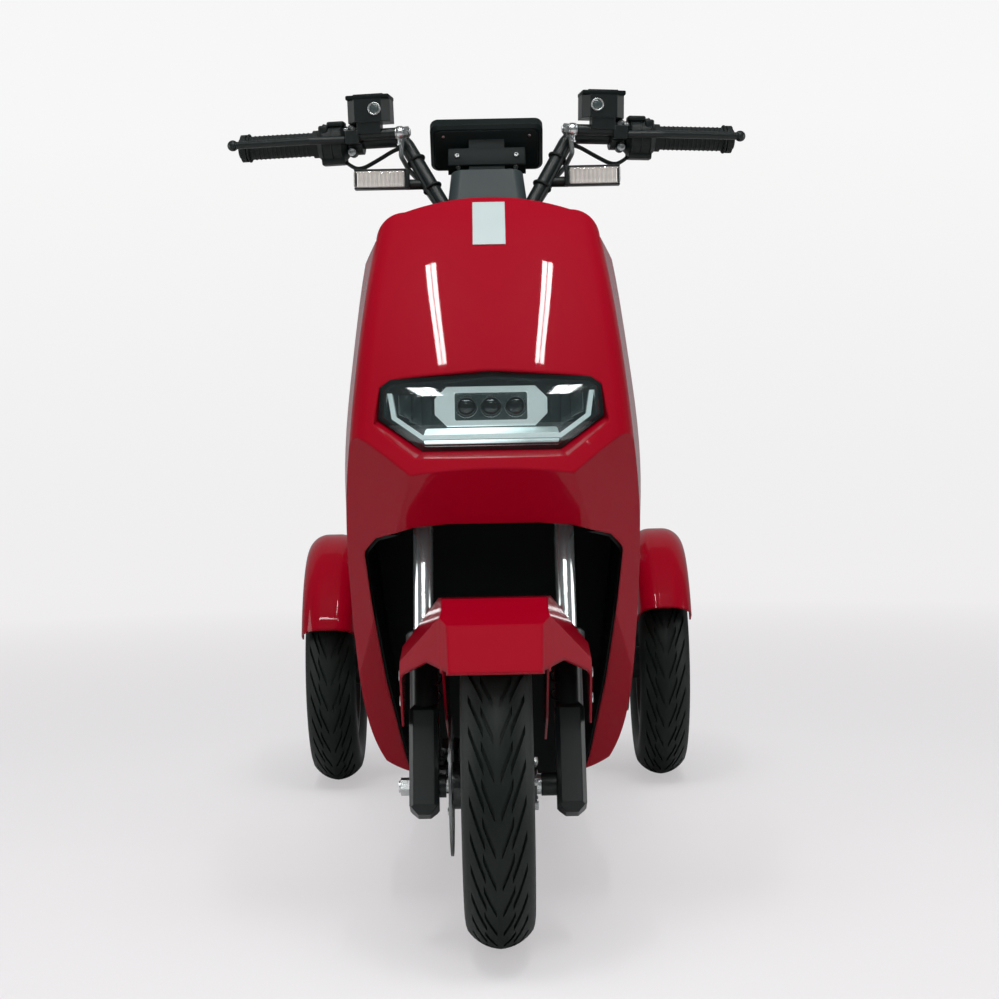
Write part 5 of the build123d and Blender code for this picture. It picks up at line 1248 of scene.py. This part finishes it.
# %% Motor fins, cable and battery lids
motor_low, motor_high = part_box("drive_motor")
motor_middle = (motor_low + motor_high) / 2
fin_count, fin_pitch, fin_thick, fin_radius = 9, 0.0125, 0.0030, 0.0955
motor_fins = bmesh.new()
for step in range(fin_count):
    x = (step - (fin_count - 1) / 2) * fin_pitch - fin_thick / 2
    place = at(x, motor_middle.y, motor_middle.z) @ ALONG_X
    drum(motor_fins, place, fin_radius, fin_thick, 0.0008, sides=56)
piece("motor_fins", motor_fins, silver, "chassis")

cover_bolts = bmesh.new()
for side in (-1, 1):
    for step in range(8):
        face = spoke_at(motor_middle, 45 * step + 20) @ at(side * 0.0878, 0, 0.066) @ outward(side)
        drum(cover_bolts, face, 0.0045, 0.0040, 0.0008, sides=18, socket=0.5)
piece("motor_bolts", cover_bolts, zinc, "chassis")

battery_low, battery_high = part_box("battery_case")
battery_back = battery_high.y
socket_x, socket_z = 0.044, 0.246
motor_cable = [
    (0.030, motor_middle.y - 0.080, 0.262), (0.034, motor_middle.y - 0.130, 0.285),
    (0.040, 0.330, 0.292), (0.046, 0.240, 0.276),
    (socket_x, battery_back + 0.020, 0.252), (socket_x, battery_back - 0.002, socket_z),
]
cables("motor_cable", [motor_cable], 0.0055, rubber, "chassis")

lid = bmesh.new()
lid_size = (0.003, 0.300, 0.050)
for side in (-1, 1):
    middle_y = (battery_low.y + battery_high.y) / 2
    block(lid, at(side * (battery_high.x - 0.0005), middle_y, 0.236), lid_size, 0.0012)
    for y in (-0.150, 0.100):
        face = at(side * battery_high.x, y, 0.268) @ outward(side)
        drum(lid, face, 0.0050, 0.0030, 0.0008, sides=18, socket=0.5)
block(lid, at(socket_x, battery_back + 0.003, socket_z), (0.030, 0.012, 0.026), 0.002)
piece("battery_fittings", lid, black_coat, "chassis")

# %% [markdown]
# ## Tail lamp and reflectors
# The tail lamp has upright ribs moulded in its red cover and a bright strip above and below
# them. Each rear mudguard carries a small round reflector, seated by a ray from behind.

# %% Tail lamp ribs and reflectors
lamp_low, lamp_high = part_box("tail_lamp")
lamp_middle_z = (lamp_low.z + lamp_high.z) / 2
rib_count = 19
rib_size = (0.0042, 0.0032, lamp_high.z - lamp_low.z - 0.012)
first_rib = lamp_low.x + 0.0085
rib_pitch = (lamp_high.x - lamp_low.x - 0.017) / (rib_count - 1)
ribs = bmesh.new()
for step in range(rib_count):
    place = at(first_rib + step * rib_pitch, lamp_high.y - 0.0006, lamp_middle_z)
    block(ribs, place, rib_size, 0.0012)
piece("tail_lamp_ribs", ribs, red_lens, "chassis")

strips = bmesh.new()
strip_size = (lamp_high.x - lamp_low.x - 0.016, 0.004, 0.0030)
for z in (lamp_low.z + 0.0022, lamp_high.z - 0.0022):
    block(strips, at(0, lamp_high.y - 0.001, z), strip_size, 0.001)
piece("tail_lamp_frame", strips, chrome, "chassis")

reflectors, mounts = bmesh.new(), bmesh.new()
for side, node in ((-1, "rear_mudguard_right"), (1, "rear_mudguard_left")):
    place = seated(skin_of(node), (side * 0.300, 1.4, 0.330), (0, -1, 0))
    drum(mounts, place, 0.0210, 0.0045, 0.0012, sides=36)
    drum(reflectors, place @ at(0, 0, 0.004), 0.0180, 0.0024, 0.0009, sides=36)
piece("reflector_mounts", mounts, black_plastic, "chassis")
piece("reflectors", reflectors, red_lens, "chassis")

# %% [markdown]
# ## The rider's side
# The knee panel carries what a rider reaches for: a key switch in a bright ring, a bag hook bent
# from wire and a covered charging socket.

# %% Key switch, hook and socket
knee_skin = skin_of("knee_panel")


def on_knee_panel(x, z):
    """A place on the knee panel, found by a ray from the rider's side."""
    return seated(knee_skin, (x, 1.0, z), (0, -1, 0))


bright_bits, black_bits = bmesh.new(), bmesh.new()
key = on_knee_panel(0.075, 0.880)
drum(black_bits, key, 0.0210, 0.0040, 0.0014, sides=36)
drum(bright_bits, key @ at(0, 0, 0.004), 0.0145, 0.0040, 0.0010, sides=32)
block(black_bits, key @ at(0, 0, 0.0082), (0.0022, 0.0120, 0.0016), 0.0003)
socket = on_knee_panel(-0.080, 0.870)
drum(black_bits, socket, 0.0230, 0.0050, 0.0016, sides=36)
drum(black_bits, socket @ at(0, 0, 0.005), 0.0190, 0.0036, 0.0016, sides=36)
block(black_bits, socket @ at(0, 0.021, 0.005), (0.012, 0.010, 0.005), 0.0016)
hook_seat = on_knee_panel(0, 0.800)
block(bright_bits, hook_seat @ at(0, 0, 0.002), (0.026, 0.044, 0.006), 0.0018, 3)
piece("key_ring", bright_bits, chrome, "chassis")
piece("key_socket_covers", black_bits, black_plastic, "chassis")

# how far behind and above its seat the hook's wire passes, point by point
hook_steps = (
    (0.004, 0.012), (0.022, 0.008), (0.038, -0.008), (0.036, -0.030), (0.020, -0.036), (0.014, -0.026),
)
hook_line = [hook_seat.translation + Vector((0, behind, up)) for behind, up in hook_steps]
cables("bag_hook", [hook_line], 0.0034, chrome, "chassis")

# %% [markdown]
# ### Panel screws
# Four screws hold the knee panel and three hold each skirt. A screw's place is two numbers and a
# ray finds the rest, so they can be moved without measuring the panel again.

# %% Screws on the knee panel and the skirts
panel_screws = bmesh.new()
for x in (-0.150, 0.150):
    for z in (0.860, 0.560):
        drum(panel_screws, on_knee_panel(x, z), 0.0052, 0.0022, 0.0009, sides=18, socket=0.5)
skirt_skin = skin_of("side_skirts")
for side in (-1, 1):
    for y in (-0.150, 0.000, 0.150):
        place = seated(skirt_skin, (side * 0.4, y, 0.225), (-side, 0, 0))
        drum(panel_screws, place, 0.0055, 0.0022, 0.0009, sides=18, socket=0.5)
piece("panel_screws", panel_screws, zinc, "chassis")

# %% [markdown]
# ## Seat cushion
# A seat is foam under a stretched cover: it is crowned, its edges are soft, and sewn seams cross
# it. The recipe is a copy of the CAD cushion drawn in a little, remeshed evenly, and blown up by
# Blender's cloth with its underside held. The growth is capped, so that the cushion doesn't
# swell into the pan under it.

# %% Blow up the cushion
grow_limit = 0.0055
draw_in = 0.0035
mesh_step = 0.006
cloth_frames = 20


def settled(obj):
    """The mesh that an object's modifiers make of it now."""
    graph = bpy.context.evaluated_depsgraph_get()
    return bpy.data.meshes.new_from_object(obj.evaluated_get(graph))


cushion_low, cushion_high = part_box("seat_cushion")
foam = bmesh.new()
foam.from_mesh(nodes["seat_cushion"].data)
bmesh.ops.remove_doubles(foam, verts=foam.verts, dist=1e-5)
bmesh.ops.recalc_face_normals(foam, faces=foam.faces)
foam.normal_update()
moves = [(vert, vert.normal.copy()) for vert in foam.verts]
for vert, normal in moves:
    held = vert.co.z < cushion_low.z + 0.002
    vert.co -= Vector((normal.x, normal.y, 0 if held else normal.z)) * draw_in
foam_mesh = bpy.data.meshes.new("foam")
foam.to_mesh(foam_mesh)
foam.free()
foam_object = bpy.data.objects.new("foam", foam_mesh)
bpy.context.scene.collection.objects.link(foam_object)
even = foam_object.modifiers.new("even", "REMESH")
even.mode = "VOXEL"
even.voxel_size = mesh_step
pad_mesh = settled(foam_object)
bpy.data.objects.remove(foam_object)
pad = bpy.data.objects.new("pad", pad_mesh)
bpy.context.scene.collection.objects.link(pad)
rest = [vert.co.copy() for vert in pad_mesh.vertices]
under = pad.vertex_groups.new(name="underside")
under.add([i for i, co in enumerate(rest) if co.z < cushion_low.z + 0.008], 1.0, "REPLACE")
cloth = pad.modifiers.new("cover", "CLOTH")
cloth.settings.use_pressure = True
cloth.settings.uniform_pressure_force = 4
cloth.settings.vertex_group_mass = "underside"
cloth.settings.effector_weights.gravity = 0
for number in range(1, cloth_frames + 1):
    bpy.context.scene.frame_set(number)
swollen = settled(pad)
pad.modifiers.clear()
for vert, before, after in zip(pad_mesh.vertices, rest, swollen.vertices):
    growth = after.co - before
    vert.co = before + growth * min(1, grow_limit / max(growth.length, 1e-9))
bpy.context.scene.frame_set(1)
print("cushion points:", len(rest))

# %% [markdown]
# ### Sewn channels
# Seams across the seat pull the cover down into the foam. Each channel is a shallow groove with a
# round floor, pressed into the top between the seat's edges. One subdivision then evens the steps
# out, and the finished pad takes the place of the CAD cushion.

# %% Press in the channels
# how far along the seat each channel runs across it, and how deep it is
channels = [(0.235, 0.0030), (0.300, 0.0030), (0.365, 0.0030), (0.560, 0.0028), (0.630, 0.0028)]
channel_half = 0.0085
channel_end = 0.112
for vert in pad_mesh.vertices:
    if vert.co.z > cushion_low.z + 0.030 and abs(vert.co.x) < channel_end:
        for middle_y, depth in channels:
            away = abs(vert.co.y - middle_y)
            if away < channel_half:
                vert.co.z -= depth * (1 - (away / channel_half) ** 2)
finer = pad.modifiers.new("finer", "SUBSURF")
finer.levels = finer.render_levels = 1
pad.data = settled(pad)
pad.modifiers.clear()
pad.name = pad.data.name = "seat_cover"
for polygon in pad.data.polygons:
    polygon.use_smooth = True
pad.data.materials.clear()
pad.data.materials.append(vinyl.material)
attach(pad, "seat")
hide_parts("seat_cushion")

# %% [markdown]
# ### Piping and stitches
# A cord of vinyl runs round the foot of the cover, and a row of stitches runs along each side of
# every channel. Both are found by rays on the finished cover, so they lie on it wherever the
# cloth has put it.

# %% Piping and stitches
cover_bm = bmesh.new()
cover_bm.from_mesh(pad.data)
cover_skin = BVHTree.FromBMesh(cover_bm)
cover_bm.free()


def around_seat(height, count=72):
    """Points round the cushion's side at a height above its foot, each with its way out."""
    found = []
    middle_y = (cushion_low.y + cushion_high.y) / 2
    half_y = (cushion_high.y - cushion_low.y) / 2
    for step in range(count):
        angle = math.tau * step / count
        away = Vector((math.cos(angle), math.sin(angle), 0))
        inside = Vector((0.060 * away.x, middle_y + (half_y - 0.080) * away.y, cushion_low.z + height))
        hit = cover_skin.ray_cast(inside + away * 0.6, -away)[0]
        if hit is not None:
            found.append((hit, away))
    return found


loop = around_seat(0.0150)
piping = bpy.data.curves.new("seat_piping", "CURVE")
piping.dimensions = "3D"
piping.bevel_depth = 0.0024
piping.bevel_resolution = 3
spline = piping.splines.new("NURBS")
spline.points.add(len(loop) - 1)
for point, (hit, away) in zip(spline.points, loop):
    point.co = (*(hit + away * 0.0006), 1)
spline.order_u = 3
spline.use_cyclic_u = True
shown("seat_piping", piping, vinyl, "seat")

stitch_count, stitch_pitch = 34, 0.0062
stitch_from_seam = channel_half + 0.0022
stitches = bmesh.new()
for middle_y, _ in channels:
    for y in (middle_y - stitch_from_seam, middle_y + stitch_from_seam):
        for step in range(stitch_count):
            x = (step - (stitch_count - 1) / 2) * stitch_pitch
            hit, normal, _, _ = cover_skin.ray_cast(Vector((x, y, 1.2)), Vector((0, 0, -1)))
            if hit is not None:
                place = standing(hit + normal * 0.0002, normal, "X")
                block(stitches, place, (0.0012, 0.0040, 0.0010), 0)
piece("seat_stitches", stitches, thread, "seat", smooth=80)

# %% [markdown]
# ## Studio floor
# The floor is a pale sheet that curves up behind the scooter. To the camera, and through clear
# plastic, it is partly a pale tone of its own and partly the light that falls on it. The tone is a
# painted falloff of the studio light: lighter up the wall, a little darker on the floor near the
# scooter. That keeps the soft shadow under the wheels while the wall stays as even as the
# photograph's. Gloss doesn't see the painted tone, so the red panels aren't washed out by a white room.

# %% Studio floor
backdrop_bm = bmesh.new()
floor_half, wall_top = 14, 14
bend_from, bend_radius, bend_steps = 5, 4, 12
edge = [backdrop_bm.verts.new((-floor_half, y, 0)) for y in (-floor_half, bend_from)]
for step in range(1, bend_steps + 1):
    angle = math.radians(step * 90 / bend_steps)
    y = bend_from + bend_radius * math.sin(angle)
    edge.append(backdrop_bm.verts.new((-floor_half, y, bend_radius - bend_radius * math.cos(angle))))
edge.append(backdrop_bm.verts.new((-floor_half, bend_from + bend_radius, wall_top)))
runs = [backdrop_bm.edges.new(pair) for pair in zip(edge, edge[1:])]
swept = bmesh.ops.extrude_edge_only(backdrop_bm, edges=runs)["geom"]
bmesh.ops.translate(backdrop_bm, vec=(floor_half * 2, 0, 0), verts=verts_of(swept))
for face in backdrop_bm.faces:
    face.smooth = True
backdrop_mesh = bpy.data.meshes.new("studio_floor")
backdrop_bm.to_mesh(backdrop_mesh)
backdrop_bm.free()
studio_floor = bpy.data.objects.new("studio_floor", backdrop_mesh)
bpy.context.scene.collection.objects.link(studio_floor)

pale = Finish("studio_pale", base_color=(0.80, 0.79, 0.795), roughness=0.95, specular_ior_level=0.0)
spot = pale.node("ShaderNodeTexCoord", {}, {}, "Object")
height = pale.node("ShaderNodeSeparateXYZ", {}, {"Vector": spot}, 2)
distance = pale.node("ShaderNodeVectorMath", {"operation": "LENGTH"}, {"Vector": spot}, 1)
# painted falloff of the studio light: the wall's tone is lighter towards the top, and the floor near the
# scooter a little darker
wall_tone = pale.blend(pale.masked(height, 0.0, 2.2), (0.870, 0.858, 0.864), (0.930, 0.930, 0.930))
tone = pale.blend(pale.masked(distance, 1.5, 5.0), (0.840, 0.820, 0.830), wall_tone)
glow = pale.node("ShaderNodeEmission", {}, {"Color": tone, "Strength": 1.0})
to_camera = pale.node("ShaderNodeLightPath", {}, {}, "Is Camera Ray")
through_plastic = pale.node("ShaderNodeLightPath", {}, {}, "Is Transmission Ray")
even_share = 0.55 + pale.masked(distance, 1.3, 4.0) * 0.45
lit = Wire(pale, pale.shader.outputs["BSDF"])
mixed = pale.node("ShaderNodeMixShader", {}, {0: (to_camera + through_plastic) * even_share, 1: lit, 2: glow})
pale.connect(pale.surface, mixed)
backdrop_mesh.materials.append(pale.material)
studio_floor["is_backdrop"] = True

# %% [markdown]
# ## World and lamps
# The photograph shows pairs of long tube lights on the ceiling: they lie as crisp lines on the
# nose and in the lamp. Two broad lamps give the even light. The tubes and strips draw the lines,
# and most of them are seen by gloss alone, so that they can be moved without changing the light.
# The world is dark to gloss, bright to the camera and grey to everything else.

# %% World and lamps
world = bpy.data.worlds.new("studio")
bpy.context.scene.world = world
world.use_nodes = True
sky = world.node_tree.nodes["Background"]
ray_kinds = world.node_tree.nodes.new("ShaderNodeLightPath")
last_tone = None
for kind, tone in (("Is Glossy Ray", (0.10, 0.105, 0.11, 1)), ("Is Camera Ray", (0.90, 0.90, 0.90, 1))):
    choice = world.node_tree.nodes.new("ShaderNodeMix")
    choice.data_type = "RGBA"
    choice.inputs[6].default_value = (0.40, 0.41, 0.42, 1)
    choice.inputs[7].default_value = tone
    world.node_tree.links.new(ray_kinds.outputs[kind], choice.inputs[0])
    if last_tone:
        world.node_tree.links.new(last_tone, choice.inputs[6])
    last_tone = choice.outputs[2]
world.node_tree.links.new(last_tone, sky.inputs["Color"])


def softbox(name, place, aim, size, power, mirrored=True, lights=True):
    """A rectangular lamp that faces a point. Gloss may miss it, or be all that sees it."""
    lamp = bpy.data.lights.new(name, "AREA")
    lamp.shape = "RECTANGLE"
    lamp.size, lamp.size_y = size
    lamp.energy = power
    made = bpy.data.objects.new(name, lamp)
    made.location = place
    made.rotation_euler = (Vector(aim) - Vector(place)).to_track_quat("-Z", "Y").to_euler()
    made.visible_glossy = mirrored
    made.visible_diffuse = lights
    bpy.context.scene.collection.objects.link(made)


softbox("ceiling", (0, -0.9, 4.2), (0, 0.0, 0), (3.4, 2.6), 92, mirrored=False)
softbox("front_fill", (0, -6.0, 2.4), (0, 0, 0.5), (4.0, 2.0), 50, mirrored=False)
softbox("edge_high", (0, -2.7, 3.9), (0, -0.6, 0.6), (3.0, 0.14), 36, lights=False)
softbox("edge_low", (0, -3.9, 3.8), (0, -0.6, 0.6), (3.0, 0.14), 30, lights=False)
tube_high, tube_shift = 2.9, 0.022
for side in (-1, 1):
    glow_place = (side * 3.2, -0.4, 0.95)
    softbox(f"side_glow_{side + 1}", glow_place, (0, -0.4, 0.8), (1.7, 2.2), 44, lights=False)
    for number, shift in enumerate((-tube_shift, tube_shift)):
        x, y = side * 0.45 + shift, -1.12
        softbox(f"tube_{side + 1}_{number}", (x, y, tube_high), (x, y, 0), (0.036, 0.84), 5.6)
        x, y = side * 0.25 + shift, -5.05
        far_name = f"far_tube_{side + 1}_{number}"
        softbox(far_name, (x, y, tube_high), (x, y, 0), (0.034, 1.6), 3.0, lights=False)

# %% [markdown]
# ## Camera
# The picture was taken from the headlamp's height, close enough for the rear wheels to look
# smaller than the front one. The horizon's row gives the camera's pitch. Its distance and focal
# length are set so that the tyres and the grips have the sizes that they have in the picture, and
# it is held 1.1 degrees off level.

# %% Camera
photo_pixels = 999
focal_pixels = 2150
horizon_row = 397
camera_ahead, camera_aside, camera_height = 2.76, 0.009, 0.709
roll = math.radians(1.1)
pitch = math.atan((photo_pixels / 2 - horizon_row) / focal_pixels)
camera_data = bpy.data.cameras.new("camera")
camera_data.sensor_width = 36
camera_data.lens = focal_pixels * camera_data.sensor_width / photo_pixels
camera_data.clip_end = 100
camera = bpy.data.objects.new("camera", camera_data)
bpy.context.scene.collection.objects.link(camera)
camera.location = (camera_aside, front_axle.y - camera_ahead, camera_height)
aim = Matrix.Rotation(math.radians(90) - pitch, 4, "X") @ Matrix.Rotation(-roll, 4, "Z")
camera.rotation_euler = aim.to_euler()
bpy.context.scene.camera = camera
bpy.context.scene.view_settings.view_transform = "Standard"

# %% Sizes, and the end
low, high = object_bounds()
